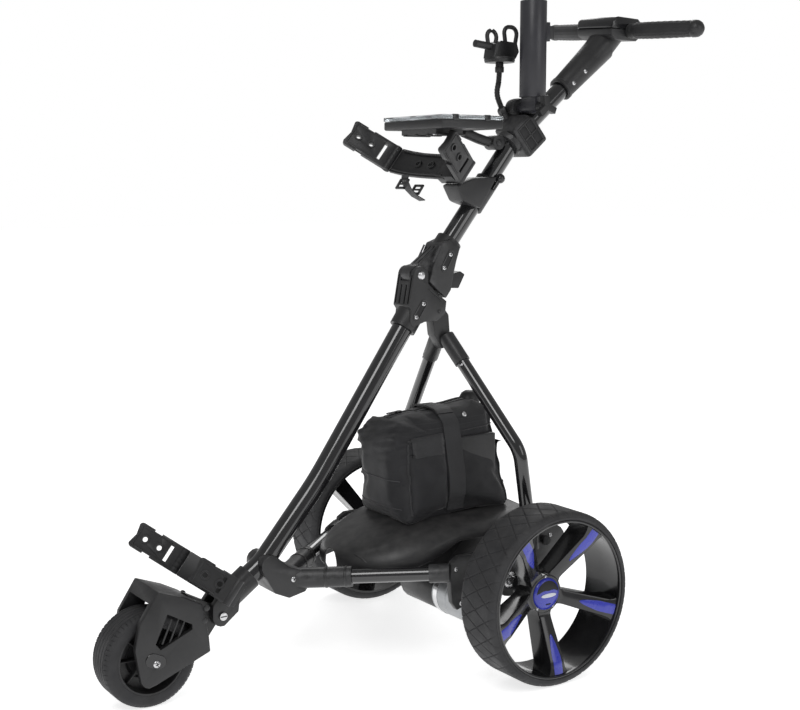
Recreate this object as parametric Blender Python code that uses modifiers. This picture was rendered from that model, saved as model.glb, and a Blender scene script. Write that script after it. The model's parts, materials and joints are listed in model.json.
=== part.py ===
"""Electric golf trolley, three wheels, folding handle: one object per physical piece.

Units are metres, +Z up. Everything is laid out from the point on the ground under the rear axle:
the trolley drives towards -X, and its left side, seen by the walker behind it, is -Y.
"""

import math

import bmesh
import bpy
from mathutils import Matrix, Vector

# ---------------------------------------------------------------- driving dimensions
CENTRE_TO_AXLE = 0.1126  # from the middle of the whole trolley back to the rear axle
GAP = 0.0003  # between pieces that touch
RUNNING = 0.0006  # around a piece that turns

WHEEL_R, WHEEL_W, TRACK = 0.140, 0.083, 0.531  # rear tyre radius and width, distance between their middles
RIM_R, HUB_R, CAP_R, SPOKES = 0.1270, 0.030, 0.026, 5
AXLE_R, AXLE_Z = 0.006, WHEEL_R
FRONT_R, FRONT_W, WHEELBASE = 0.0741, 0.0595, 0.5674
FRONT_AXLE_R = 0.005

LOWER_TUBE_R, UPPER_TUBE_R, SIDE_TUBE_R, TUBE_WALL = 0.0175, 0.016, 0.0115, 0.0018
LOWER_TUBE = [(-0.0800, 0, 0.5653), (-0.261, 0, 0.305), (-0.364, 0, 0.185), (-0.420, 0, 0.1455)]
UPPER_TUBE = [(-0.0180, 0, 0.6634), (0.142, 0, 0.864), (0.262, 0, 0.9645)]
YOKE = Vector((-0.329, 0, 0.1535))  # where the two side tubes' axes meet
SIDE_RUN = Vector((1.2366, 1, 0.0953))  # a side tube's direction, to the +Y side
BRACKET_Y, BRACKET_T = 0.172, 0.011  # axle bracket plates: middle and thickness
STAY_TOP = Vector((-0.015, 0, 0.541))  # where the two stays' axes meet
STAY_RUN = Vector((0.262, 1, -1.168))
STAY_BEND_Y, STAY_FOOT = 0.164, Vector((0.045, BRACKET_Y, 0.206))

FOLD = Vector((-0.072, 0, 0.634))  # main hinge pin
FORK_PIVOT = Vector((-0.446, 0, 0.119))
LATCH_PIVOT = Vector((-0.008, 0, 0.620))
TONGUE_Y, CHEEK_Y = 0.0125, 0.0235  # half widths of the hinge's middle leaf and of the castings
PIN_R = 0.004

MOTOR = Vector((-0.050, 0, 0.106))  # motor shaft, parallel to the axle
MOTOR_R, MOTOR_NEAR, MOTOR_FAR = 0.038, -0.160, -0.079
GEAR_TEETH, PINION_TEETH = 36, 12
GEAR_Y = (-0.026, -0.006)

BAG_LOW, BAG_HIGH, BAG_Y = 0.238, 0.400, 0.070

UPPER_BLOCK, UPPER_TILT = Vector((0.044, 0, 0.769)), math.radians(38.4)
LOWER_BLOCK = Vector((-0.4200, 0, 0.1437))
ARM_LOW, ARM_HIGH = -0.015, 0.035  # the arms' edges along the tube, from the bracket's middle

CLAMP, CLAMP_TILT = Vector((0.1480, 0, 0.869)), math.radians(50.0)
UMBRELLA_PIVOT = Vector((0.1615, -0.024, 0.9150))
TRAY_PIVOT = Vector((0.098, 0, 0.856))
TRAY_LOW, TRAY_HIGH = Vector((-0.075, -0.085, 0.874)), Vector((0.050, 0.085, 0.889))
CRADLE = Vector((0.131, 0.030, 0.994))  # top of the gooseneck
GOOSE_FOOT = Vector((0.1430, 0.030, 0.9030))
GOOSE_WAY = Vector((-0.45, 0, 0.893))
HANDLE = Vector((0.356, 0, 1.061))
HANDLE_TWIST = math.radians(5)  # how far the handle has been turned on its tube

# ---------------------------------------------------------------- scene, materials, helpers
for old in list(bpy.data.objects):
    bpy.data.objects.remove(old, do_unlink=True)


def new_collection(name):
    collection = bpy.data.collections.new(name)
    bpy.context.scene.collection.children.link(collection)
    return collection


PARTS = new_collection("electric_golf_trolley")
CUTTERS = new_collection("cutters")
CUTTERS.hide_render = True


def material(name, colour, roughness, metallic=0.0):
    """A Principled material with one colour."""
    made = bpy.data.materials.new(name)
    made.use_nodes = True
    shader = made.node_tree.nodes["Principled BSDF"]
    shader.inputs["Base Color"].default_value = (*colour, 1)
    shader.inputs["Roughness"].default_value = roughness
    shader.inputs["Metallic"].default_value = metallic
    return made


GLOSS_TUBE = material("gloss_black_tube", (0.012, 0.012, 0.013), 0.16)
CASTING = material("satin_black_casting", (0.022, 0.022, 0.024), 0.45)
PLASTIC = material("black_plastic", (0.030, 0.030, 0.033), 0.50)
RUBBER = material("tyre_rubber", (0.035, 0.035, 0.037), 0.70)
BLUE = material("blue_trim", (0.035, 0.045, 0.42), 0.30)
SILVER = material("silver_motor", (0.42, 0.43, 0.44), 0.40, 0.9)
STEEL = material("zinc_steel", (0.60, 0.60, 0.62), 0.30, 1.0)
BRONZE = material("gear_bronze", (0.45, 0.30, 0.12), 0.35, 1.0)
FABRIC = material("bag_fabric", (0.018, 0.018, 0.020), 0.90)
CLEAR = material("clear_lid", (0.85, 0.87, 0.88), 0.08)
GREEN = material("circuit_board", (0.02, 0.16, 0.06), 0.50)

ROOT = bpy.data.objects.new("trolley_origin", None)
ROOT.location = (CENTRE_TO_AXLE, 0, 0)
PARTS.objects.link(ROOT)


def pivot(name, at, parent=ROOT):
    """An empty on a joint's axis, given in the trolley's own layout."""
    made = bpy.data.objects.new(name, None)
    PARTS.objects.link(made)
    made.parent = parent
    bpy.context.view_layer.update()
    made.matrix_parent_inverse = parent.matrix_world.inverted()
    made.matrix_world = ROOT.matrix_world @ Matrix.Translation(at)
    bpy.context.view_layer.update()
    return made


def place(obj, parent, frame):
    """Parents an object to an empty, keeping its mesh where frame puts it in the trolley's layout."""
    obj.parent = parent
    obj.matrix_parent_inverse = parent.matrix_world.inverted()
    obj.matrix_world = ROOT.matrix_world @ frame


def solid(name, mesh, finish, parent=ROOT, frame=Matrix.Identity(4)):
    """One named piece."""
    obj = bpy.data.objects.new(name, mesh)
    obj.data.materials.clear()
    obj.data.materials.append(finish)
    PARTS.objects.link(obj)
    place(obj, parent, frame)
    mesh.shade_smooth()
    mesh.set_sharp_from_angle(angle=math.radians(35))
    return obj


def combine(obj, operation, meshes):
    """Boolean modifiers that join or cut meshes given in the object's own space."""
    for mesh in meshes:
        helper = bpy.data.objects.new(f"{obj.name}_{operation.lower()}", mesh)
        CUTTERS.objects.link(helper)
        helper.hide_render = True
        helper.display_type = "WIRE"
        helper.parent = obj
        modifier = obj.modifiers.new(operation.title(), "BOOLEAN")
        modifier.operation = operation
        modifier.object = helper
    return obj


def join(obj, *meshes):
    return combine(obj, "UNION", meshes)


def cut(obj, *meshes):
    return combine(obj, "DIFFERENCE", meshes)


def soften(obj, width, segments=2):
    """Rounds the edges. It comes before any Boolean."""
    modifier = obj.modifiers.new("Soften", "BEVEL")
    modifier.width = width
    modifier.segments = segments
    modifier.limit_method = "ANGLE"
    modifier.angle_limit = math.radians(35)
    return obj


def from_bmesh(bm):
    mesh = bpy.data.meshes.new("shape")
    bmesh.ops.recalc_face_normals(bm, faces=bm.faces)
    bm.to_mesh(mesh)
    bm.free()
    return mesh


def block(low, high, tilt=0.0):
    """A box between two corners, then tilted about Y through its middle."""
    low, high = Vector(low), Vector(high)
    bm = bmesh.new()
    middle = Matrix.Translation((low + high) / 2) @ Matrix.Rotation(tilt, 4, "Y")
    bmesh.ops.create_cube(bm, size=1, matrix=middle @ Matrix.Diagonal((*(high - low), 1)))
    return from_bmesh(bm)


def rod(radius, start, end, sides=20, end_radius=None):
    """A cylinder or a cone between two points."""
    start, end = Vector(start), Vector(end)
    along = end - start
    frame = Matrix.Translation((start + end) / 2) @ along.to_track_quat("Z", "Y").to_matrix().to_4x4()
    bm = bmesh.new()
    bmesh.ops.create_cone(bm, cap_ends=True, segments=sides, radius1=radius, matrix=frame,
                          radius2=radius if end_radius is None else end_radius, depth=along.length)
    return from_bmesh(bm)


def ball(radius, centre, sides=12):
    bm = bmesh.new()
    bmesh.ops.create_uvsphere(bm, u_segments=sides, v_segments=sides // 2, radius=radius,
                              matrix=Matrix.Translation(centre))
    return from_bmesh(bm)


def evaluated(data, screw_steps=0, wall=0.0):
    """The welded mesh that a curve gives, or a profile with a Screw or a Solidify modifier."""
    maker = bpy.data.objects.new("maker", data)
    bpy.context.scene.collection.objects.link(maker)
    if screw_steps:
        turn = maker.modifiers.new("Turn", "SCREW")
        turn.steps = turn.render_steps = screw_steps
        turn.use_merge_vertices = True
        turn.merge_threshold = 1e-5
    if wall:
        thicken = maker.modifiers.new("Wall", "SOLIDIFY")
        thicken.thickness = wall
        thicken.offset = -1
    bpy.context.view_layer.update()
    mesh = bpy.data.meshes.new_from_object(maker.evaluated_get(bpy.context.evaluated_depsgraph_get()))
    bpy.data.objects.remove(maker)
    bm = bmesh.new()
    bm.from_mesh(mesh)
    bmesh.ops.remove_doubles(bm, verts=bm.verts, dist=1e-6)
    return from_bmesh(bm)


def lathe(profile, steps=48):
    """A closed (radius, height) profile turned about Z."""
    mesh = bpy.data.meshes.new("profile")
    count = len(profile)
    mesh.from_pydata([(r, 0, h) for r, h in profile], [(i, (i + 1) % count) for i in range(count)], [])
    return evaluated(mesh, screw_steps=steps)


def plate(outline, low, high):
    """A flat outline in X and Z, filled and extruded along Y from low to high."""
    curve = bpy.data.curves.new("outline", "CURVE")
    curve.dimensions = "2D"
    curve.fill_mode = "BOTH"
    curve.extrude = (high - low) / 2
    spline = curve.splines.new("POLY")
    spline.points.add(len(outline) - 1)
    spline.use_cyclic_u = True
    for point, (x, z) in zip(spline.points, outline):
        point.co = (x, z, 0, 1)
    mesh = evaluated(curve)
    mesh.transform(Matrix.Translation((0, (low + high) / 2, 0)) @ Matrix.Rotation(math.radians(90), 4, "X"))
    return mesh


def arc(centre, radius, start, end, steps=6):
    """Points on an arc, with its angles in degrees."""
    angles = [math.radians(start + (end - start) * i / steps) for i in range(steps + 1)]
    return [(centre[0] + radius * math.cos(a), centre[1] + radius * math.sin(a)) for a in angles]


def bent(corners, radii, steps=5):
    """The corners' line with each inner corner turned into an arc of its radius."""
    corners = [Vector(c) for c in corners]
    path = [corners[0]]
    for before, corner, after, radius in zip(corners, corners[1:], corners[2:], radii):
        into, out = (before - corner).normalized(), (after - corner).normalized()
        half = into.angle(out) / 2
        reach = radius / math.tan(half)
        middle = corner + (into + out).normalized() * radius / math.sin(half)
        first, last = corner + into * reach - middle, corner + out * reach - middle
        path += [middle + first.slerp(last, i / steps) * radius / first.slerp(last, i / steps).length
                 for i in range(steps + 1)]
    return path + [corners[-1]]


def tube(path, radius, wall=0.0, resolution=4):
    """A round tube along points: hollow and open at its ends when it has a wall."""
    curve = bpy.data.curves.new("tube", "CURVE")
    curve.dimensions = "3D"
    curve.bevel_depth = radius
    curve.bevel_resolution = resolution
    curve.use_fill_caps = not wall
    spline = curve.splines.new("POLY")
    spline.points.add(len(path) - 1)
    for point, at in zip(spline.points, path):
        point.co = (*at, 1)
    return evaluated(curve, wall=wall)


def moved(mesh, matrix):
    mesh.transform(matrix)
    return mesh


def at(point, tilt=0.0):
    """A frame at a point, tilted about Y."""
    return Matrix.Translation(point) @ Matrix.Rotation(tilt, 4, "Y")


def mirror(point, side):
    return Vector((point[0], point[1] * side, point[2]))


LEFT, RIGHT = -1, 1
SIDES = {"left": LEFT, "right": RIGHT}

# ---------------------------------------------------------------- joints' empties
fold_axis = pivot("main_fold_axis", FOLD)
fork_axis = pivot("fork_fold_axis", FORK_PIVOT)
front_wheel_axis = pivot("front_wheel_axis", (-WHEELBASE, 0, FRONT_R), fork_axis)
rear_axis = pivot("rear_axle_axis", (0, 0, AXLE_Z))
motor_axis = pivot("motor_axis", MOTOR)
latch_axis = pivot("fold_latch_axis", LATCH_PIVOT, fold_axis)
tray_axis = pivot("tray_tilt_axis", TRAY_PIVOT, fold_axis)
umbrella_axis = pivot("umbrella_tilt_axis", UMBRELLA_PIVOT, fold_axis)
cradle_axis = pivot("phone_cradle_axis", CRADLE, fold_axis)


# ---------------------------------------------------------------- rear wheels and drive
def tyre_profile(radius, width, inner, shoulder):
    """A tyre's section: flat tread, rounded shoulders, flat sidewalls, open middle."""
    half = width / 2
    return [(inner, half), (radius - shoulder, half), (radius - 0.25 * shoulder, half - 0.3 * shoulder),
            (radius, half - shoulder), (radius, shoulder - half),
            (radius - 0.25 * shoulder, 0.3 * shoulder - half), (radius - shoulder, -half), (inner, -half)]


def outward(side):
    """Turns a wheel's local +Z to the outside, with its local +Y up."""
    return Matrix.Rotation(math.radians(90), 4, "X") @ Matrix.Rotation(0 if side < 0 else math.pi, 4, "Y")


def spoke(angle):
    """A deep tapering spoke from the hub out to the rim's outer lip."""
    reach = RIM_R - 0.002
    mesh = plate([(0.022, -0.036), (reach, -0.004), (reach, 0.037), (0.104, 0.033), (0.034, 0.001),
                  (0.022, 0.001)], -0.5, 0.5)
    for vertex in mesh.vertices:
        vertex.co.y *= 0.0215 + 0.09 * (vertex.co.x - 0.022)
    return moved(mesh, Matrix.Rotation(angle, 4, "Z"))


def rear_wheels():
    half = WHEEL_W / 2 - 0.001
    rim = lathe([(RIM_R, half), (RIM_R, -half), (RIM_R - 0.004, -half), (RIM_R - 0.004, half)])
    hub = lathe([(HUB_R, 0.0015), (HUB_R, -0.030), (0.020, -0.058), (AXLE_R + GAP, -0.058),
                 (AXLE_R + GAP, 0.0015)], 32)
    cap = lathe([(0, 0.0085), (0.014, 0.0080), (CAP_R - 0.003, 0.0060), (CAP_R, 0.0018 + GAP),
                 (0, 0.0018 + GAP)], 32)
    tyre = lathe(tyre_profile(WHEEL_R, WHEEL_W, RIM_R + GAP, 0.012))
    for name, side in SIDES.items():
        frame = at((0, side * TRACK / 2, AXLE_Z)) @ outward(side)
        solid(f"{name}_tyre", tyre.copy(), RUBBER, rear_axis, frame)
        wheel = solid(f"{name}_rim", rim.copy(), GLOSS_TUBE, rear_axis, frame)
        spokes = [spoke(math.radians(-90 + 360 / SPOKES * i)) for i in range(SPOKES)]
        join(wheel, *spokes, hub.copy())
        cut(wheel, rod(AXLE_R + GAP, (0, 0, -0.08), (0, 0, 0.0301)))
        solid(f"{name}_hub_cap", cap.copy(), BLUE, rear_axis, frame @ Matrix.Translation((0, 0, 0.0002)))
    ends = TRACK / 2 + 0.0012
    solid("rear_axle", rod(AXLE_R, (0, -ends, AXLE_Z), (0, ends, AXLE_Z)), STEEL, rear_axis)


def gear(teeth, radius, depth, offset=0.0):
    """A spur gear's outline, with straight-sided teeth and backlash."""
    outline = []
    for tooth in range(teeth):
        for r, part in ((radius - depth, 0.04), (radius + depth * 0.8, 0.30), (radius + depth * 0.8, 0.46),
                        (radius - depth, 0.72)):
            angle = 2 * math.pi * (tooth + part - 0.38 + offset) / teeth
            outline.append((r * math.cos(angle), r * math.sin(angle)))
    return outline


def drive():
    between = math.hypot(MOTOR.x, AXLE_Z - MOTOR.z)
    towards = math.atan2(MOTOR.z - AXLE_Z, MOTOR.x)
    radius = between * GEAR_TEETH / (GEAR_TEETH + PINION_TEETH)
    depth = 0.0024
    wheel = plate(gear(GEAR_TEETH, radius, depth), *GEAR_Y)
    spin = Matrix.Rotation(-towards, 4, "Y")
    gear_wheel = solid("drive_gear", moved(wheel, spin), BRONZE, rear_axis, at((0, 0, AXLE_Z)))
    cut(gear_wheel, rod(AXLE_R + GAP, (0, -0.05, 0), (0, 0.05, 0)))
    pinion = plate(gear(PINION_TEETH, between - radius, depth, 0.5), *GEAR_Y)
    shaft = rod(0.004, (0, -0.145, 0), (0, GEAR_Y[0] + 0.004, 0))
    armature = rod(0.028, (0, -0.138, 0), (0, -0.088, 0))
    facing = Matrix.Rotation(-(towards + math.pi), 4, "Y")
    join(solid("motor_rotor", moved(pinion, facing), STEEL, motor_axis, at(MOTOR)), shaft, armature)

    can = lathe([(MOTOR_R, MOTOR_FAR), (MOTOR_R, MOTOR_NEAR + 0.006), (MOTOR_R - 0.006, MOTOR_NEAR),
                 (0, MOTOR_NEAR), (0, MOTOR_NEAR + 0.006), (MOTOR_R - 0.003, MOTOR_NEAR + 0.008),
                 (MOTOR_R - 0.003, MOTOR_FAR)], 40)
    solid("motor_can", moved(can, Matrix.Rotation(math.radians(-90), 4, "X")), SILVER, ROOT, at(MOTOR))

    axle = (0, AXLE_Z)
    around_axle, around_motor = radius + depth + 0.005, MOTOR_R - 0.001
    start = math.degrees(towards) + 90
    outline = arc((MOTOR.x, MOTOR.z), around_motor, start - 180, start, 10)
    outline += arc(axle, around_axle, start, start + 180, 12)
    casing = soften(solid("gearbox_casing", plate(outline, MOTOR_FAR + GAP, 0.018), CASTING), 0.003)
    room = (GEAR_Y[0] - 0.001, GEAR_Y[1] + 0.001)
    cut(casing,
        rod(radius + depth + 0.0015, (0, room[0], AXLE_Z), (0, room[1], AXLE_Z), 40),
        rod(between - radius + 0.004, (MOTOR.x, room[0] + GAP, MOTOR.z), (MOTOR.x, room[1] - GAP, MOTOR.z)),
        rod(0.005, (MOTOR.x, -0.12, MOTOR.z), (MOTOR.x, GEAR_Y[0] + 0.006, MOTOR.z)),
        rod(AXLE_R + RUNNING, (0, -0.12, AXLE_Z), (0, 0.06, AXLE_Z)))


# ---------------------------------------------------------------- chassis
def side_point(y, side):
    return YOKE + mirror(SIDE_RUN * y, side)


def chassis():
    for name, side in SIDES.items():
        near, far = side_point(0.030, side), side_point(0.1640, side)
        solid(f"{name}_side_tube", tube([near, far], SIDE_TUBE_R, TUBE_WALL), GLOSS_TUBE)
        axle_bracket(name, side)
        ring = lathe([(0.0138, BRACKET_T / 2), (0.0138, -BRACKET_T / 2), (AXLE_R + GAP, -BRACKET_T / 2),
                      (AXLE_R + GAP, BRACKET_T / 2)], 28)
        solid(f"{name}_bearing", ring, STEEL, ROOT, at((0, side * BRACKET_Y, AXLE_Z)) @ outward(side))
        bend = STAY_TOP + mirror(STAY_RUN * STAY_BEND_Y, side)
        top = STAY_TOP + mirror(STAY_RUN * 0.028, side)
        foot = mirror(STAY_FOOT, side)
        solid(f"{name}_stay", tube(bent([top, bend, foot], [0.055]), SIDE_TUBE_R, TUBE_WALL), GLOSS_TUBE)
    yoke()
    crotch()


def axle_bracket(name, side):
    """The plate that holds the axle's bearing, the end of the side tube and the foot of the stay."""
    outline = [(-0.122, 0.160), (-0.118, 0.188), (-0.104, 0.196), (-0.020, 0.196), (0.028, 0.222),
               (0.098, 0.219), *arc((0.092, 0.194), 0.025, 70, -40, 5), (0.060, 0.140),
               *arc((0, AXLE_Z), 0.028, -20, -150, 7), (-0.075, 0.118), (-0.108, 0.108), (-0.118, 0.122)]
    low, high = sorted((side * (BRACKET_Y - BRACKET_T / 2), side * (BRACKET_Y + BRACKET_T / 2)))
    bracket = soften(solid(f"{name}_axle_bracket", plate(outline, low, high), CASTING), 0.002)
    join(bracket,
         rod(0.0150, side_point(0.150, side), side_point(0.1705, side)),
         rod(0.0160, mirror(STAY_FOOT - Vector((0, 0, 0.020)), side),
             mirror(STAY_FOOT + Vector((0, 0, 0.026)), side)),
         rod(0.0200, (0, side * 0.158, AXLE_Z), (0, side * 0.180, AXLE_Z)))
    stay_bend = STAY_TOP + mirror(STAY_RUN * STAY_BEND_Y, side)
    stay_foot = mirror(STAY_FOOT, side)
    down = (stay_foot - stay_bend).normalized()
    cut(bracket,
        rod(SIDE_TUBE_R + GAP, side_point(0.08, side), side_point(0.1640 + GAP, side)),
        rod(SIDE_TUBE_R + GAP, stay_foot + down * GAP, stay_foot - down * 0.09),
        rod(0.0138 + GAP, (0, side * (BRACKET_Y - BRACKET_T / 2 - GAP), AXLE_Z),
            (0, side * (BRACKET_Y + 0.02), AXLE_Z)),
        rod(AXLE_R + RUNNING, (0, side * 0.12, AXLE_Z), (0, side * 0.22, AXLE_Z)))


def yoke():
    """The T-shaped casting at the foot of the frame, clamped round the lower tube by two ears."""
    body = [(-0.356, 0.140), *arc((-0.362, 0.186), 0.017, 215, 60, 6), (-0.330, 0.180), (-0.300, 0.168),
            (-0.288, 0.150), (-0.300, 0.134), (-0.330, 0.128)]
    casting = soften(solid("chassis_yoke", plate(body, -0.027, 0.027), CASTING), 0.003)
    for side in SIDES.values():
        join(casting, rod(0.0165, side_point(0.006, side), side_point(0.072, side)))
    for side in SIDES.values():
        cut(casting, rod(SIDE_TUBE_R + GAP, side_point(0.030 - GAP, side), side_point(0.12, side)))
    cut(casting, tube(bent(LOWER_TUBE, [0.6, 0.12]), LOWER_TUBE_R + GAP, resolution=5))


def crotch():
    """The forked casting that joins both stays to the main hinge."""
    neck = [(-0.0420, 0.5840), (-0.0220, 0.5840), (-0.0060, 0.5640), (-0.0020, 0.5200),
            (-0.0180, 0.5060), (-0.0350, 0.5300)]
    casting = soften(solid("stay_crotch", plate(neck, -0.0115, 0.0115), CASTING), 0.002)
    for side in SIDES.values():
        start = STAY_TOP + mirror(STAY_RUN * 0.012, side)
        join(casting, rod(0.0138, start, STAY_TOP + mirror(STAY_RUN * 0.047, side)))
    for side in SIDES.values():
        cut(casting, rod(SIDE_TUBE_R + GAP, STAY_TOP + mirror(STAY_RUN * (0.028 - GAP), side),
                         STAY_TOP + mirror(STAY_RUN * 0.09, side)))


def cover():
    """The smooth shell over the drive: a domed open surface, thickened inwards."""
    nose, tail, waist = -0.236, 0.100, -0.100
    columns, rows = 14, 12
    bm = bmesh.new()
    grid = []
    for i in range(columns + 1):
        x = nose + 0.0015 + (tail - nose - 0.0015) * (i / columns) ** 1.25
        narrow = max(0.0, (waist - x) / (waist - nose))
        width = 0.126 * math.sqrt(max(1e-4, 1 - narrow ** 2))
        rise = min(1.0, (x - nose) / 0.16)
        edge = 0.160 + 0.045 * min(1.0, max(0.0, (x + 0.20) / 0.13)) ** 1.5
        top = 0.186 + (0.2335 - 0.186) * math.sin(rise * math.pi / 2)
        line = []
        for j in range(rows + 1):
            across = math.sin((j / rows - 0.5) * math.pi)
            lift = (1 - abs(across) ** 2.6) ** (1 / 2.6)
            line.append(bm.verts.new((x, width * across, edge + (top - edge) * lift)))
        grid.append(line)
    for low, high in zip(grid, grid[1:]):
        for j in range(rows):
            bm.faces.new((low[j], high[j], high[j + 1], low[j + 1]))
    shell = solid("drive_cover", from_bmesh(bm), PLASTIC)
    thicken = shell.modifiers.new("Wall", "SOLIDIFY")
    thicken.thickness = 0.003
    thicken.offset = -1


def battery():
    """The pack stands on the cover, and its zipped bag is pulled down over it."""
    side = [(-0.131, BAG_LOW - 0.001), (0.079, BAG_LOW + 0.001), (0.067, 0.405), (0.040, 0.418),
            (-0.075, 0.404), (-0.128, 0.386), (-0.142, 0.362)]
    bag = soften(solid("battery_bag", plate(side, -BAG_Y, BAG_Y), FABRIC), 0.010)
    cut(bag, block((-0.1235, -BAG_Y + 0.004, 0.2), (0.0600, BAG_Y - 0.004, 0.366)))
    solid("battery_pack", block((-0.120, -BAG_Y + 0.006, BAG_LOW), (0.056, BAG_Y - 0.006, 0.362)), PLASTIC)


# ---------------------------------------------------------------- lower tube, front fork and wheel
def front_clevis():
    """The casting on the front end of the lower tube: a socket, and two cheeks for the fork's tongue."""
    start, end = Vector(LOWER_TUBE[-2]), Vector(LOWER_TUBE[-1])
    along = (end - start).normalized()
    outline = [(-0.4180, 0.1215), (-0.4150, 0.1420), (-0.4250, 0.1600), (-0.4398, 0.1654), (-0.4620, 0.1370),
               *arc((FORK_PIVOT.x, FORK_PIVOT.z), 0.0170, 170, 280, 5)]
    casting = soften(solid("front_clevis", plate(outline, -0.0225, 0.0225), CASTING), 0.002)
    join(casting, rod(0.0213, start.lerp(end, 0.42), end + along * 0.0100, 32))
    cut(casting, rod(LOWER_TUBE_R + GAP, end + along * GAP, start - along * 0.02, 32))
    cut(casting,
        block((-0.520, -0.0125, 0.040), (-0.4290, 0.0125, 0.200)),
        rod(PIN_R + GAP, FORK_PIVOT - Vector((0, 0.05, 0)), FORK_PIVOT + Vector((0, 0.05, 0))))


def fork():
    """The front fork: a sloping crown, two cheeks with windows, and a tongue on the fold pivot."""
    cheek = [(-0.562, 0.184), (-0.592, 0.139), (-0.600, 0.100), (-0.594, 0.060),
             *arc((-0.578, 0.052), 0.014, 200, 300, 3), (-0.478, 0.076), (-0.480, 0.100),
             (-0.490, 0.152), (-0.520, 0.168)]
    window = [(-0.548, 0.147), (-0.508, 0.124), (-0.508, 0.116), (-0.560, 0.094), (-0.568, 0.104)]
    inner = FRONT_W / 2 + 0.0055
    frame = soften(solid("front_fork", plate(cheek, -0.0450, 0.0450), PLASTIC, fork_axis), 0.003)
    wheel_room = rod(FRONT_R + 0.006, (-WHEELBASE, -inner, FRONT_R), (-WHEELBASE, inner, FRONT_R), 40)
    front_room = block((-0.70, -inner, 0.02), (-0.545, inner, 0.166))
    low_room = block((-0.70, -inner, 0.0), (-0.500, inner, 0.120))
    cut(frame, wheel_room, front_room, low_room, plate(window, -0.06, 0.06))
    tongue = [(-0.500, 0.160), (-0.458, 0.137), *arc((FORK_PIVOT.x, FORK_PIVOT.z), 0.0125, 60, -110, 6),
              (-0.470, 0.082), (-0.486, 0.080)]
    join(frame, plate(tongue, -0.0120, 0.0120))
    through = Vector((0, 0.06, 0))
    axle = Vector((-WHEELBASE, 0, FRONT_R))
    cut(frame, rod(PIN_R + RUNNING, FORK_PIVOT - through, FORK_PIVOT + through),
        rod(FRONT_AXLE_R + GAP, axle - through, axle + through))
    head = Vector((0, 0.0228, 0))
    shank = Vector((0, 0.0250, 0))
    bolt = solid("fork_bolt", rod(PIN_R, FORK_PIVOT - shank, FORK_PIVOT + shank), STEEL)
    join(bolt, rod(0.0065, FORK_PIVOT - Vector((0, 0.0262, 0)), FORK_PIVOT - head),
         rod(0.0065, FORK_PIVOT + head, FORK_PIVOT + Vector((0, 0.0262, 0))))


def front_wheel():
    half, inner = FRONT_W / 2, 0.054
    frame = at((-WHEELBASE, 0, FRONT_R)) @ outward(LEFT)
    tyre = lathe(tyre_profile(FRONT_R, FRONT_W, inner, 0.012), 40)
    solid("front_tyre", tyre, RUBBER, front_wheel_axis, frame)
    bore = FRONT_AXLE_R + RUNNING
    web = 0.004
    rim = [(inner - GAP, half - 0.001), (inner - GAP, 0.001 - half), (inner - 0.004, 0.001 - half),
           (inner - 0.006, -web), (0.016, -web), (0.014, 0.003 - half), (bore, 0.003 - half),
           (bore, half - 0.003), (0.014, half - 0.003), (0.016, web), (inner - 0.006, web),
           (inner - 0.004, half - 0.001)]
    solid("front_rim", lathe(rim, 32), PLASTIC, front_wheel_axis, frame)
    end = Vector((0, 0.0455, 0))
    middle = Vector((-WHEELBASE, 0, FRONT_R))
    solid("front_axle", rod(FRONT_AXLE_R, middle - end, middle + end), STEEL, fork_axis)


# ---------------------------------------------------------------- main hinge
def sector(start, end, radius):
    """A slice of a disc about the main hinge's pin."""
    return [(FOLD.x, FOLD.z), *arc((FOLD.x, FOLD.z), radius, start, end, 12)]


def lower_hinge():
    """The lower casting: a socket on the lower tube, two cheeks round the upper casting's tongue."""
    outline = [(-0.0880, 0.5480), (-0.0945, 0.5575), (-0.0915, 0.5765), (-0.0965, 0.5840),
               *arc((FOLD.x, FOLD.z), 0.0150, 165, -10, 9), (-0.0570, 0.6195), (-0.0390, 0.6030),
               (-0.0195, 0.5885), (-0.0220, 0.5680), (-0.0395, 0.5560), (-0.0640, 0.5560)]
    casting = soften(solid("lower_hinge_casting", plate(outline, -CHEEK_Y, CHEEK_Y), CASTING), 0.0025)
    top, low = Vector(LOWER_TUBE[0]), Vector(LOWER_TUBE[1])
    along = (top - low).normalized()
    through = Vector((0, 0.06, 0))
    tongue_room = TONGUE_Y + RUNNING
    join(casting, rod(0.0228, top - along * 0.0250, top + along * 0.0150, 32))
    cut(casting,
        rod(PIN_R + GAP, FOLD - through, FOLD + through, 24),
        rod(LOWER_TUBE_R + GAP, top + along * GAP, top - along * 0.08, 32),
        plate(sector(-44, 211, 0.090), -tongue_room, tongue_room),
        rod(0.0173, (FOLD.x, 0.0001 - tongue_room, FOLD.z), (FOLD.x, tongue_room - 0.0001, FOLD.z), 32),
        *[block((-0.1200, y - 0.0018, 0.5900), (-0.0855, y + 0.0018, 0.6380), math.radians(14))
          for y in (-0.0185, 0.0185)],
        *[block((-0.1200, y - 0.0020, 0.5885), (-0.0810, y + 0.0020, 0.6205), math.radians(14))
          for y in (-0.0070, 0.0070)],
        block((-0.0452, -0.0122, 0.5385), (0.0100, 0.0122, 0.5863)))
    pin = Vector((0, CHEEK_Y + 0.0012, 0))
    solid("hinge_pin", rod(PIN_R, FOLD - pin, FOLD + pin), STEEL)


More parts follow.
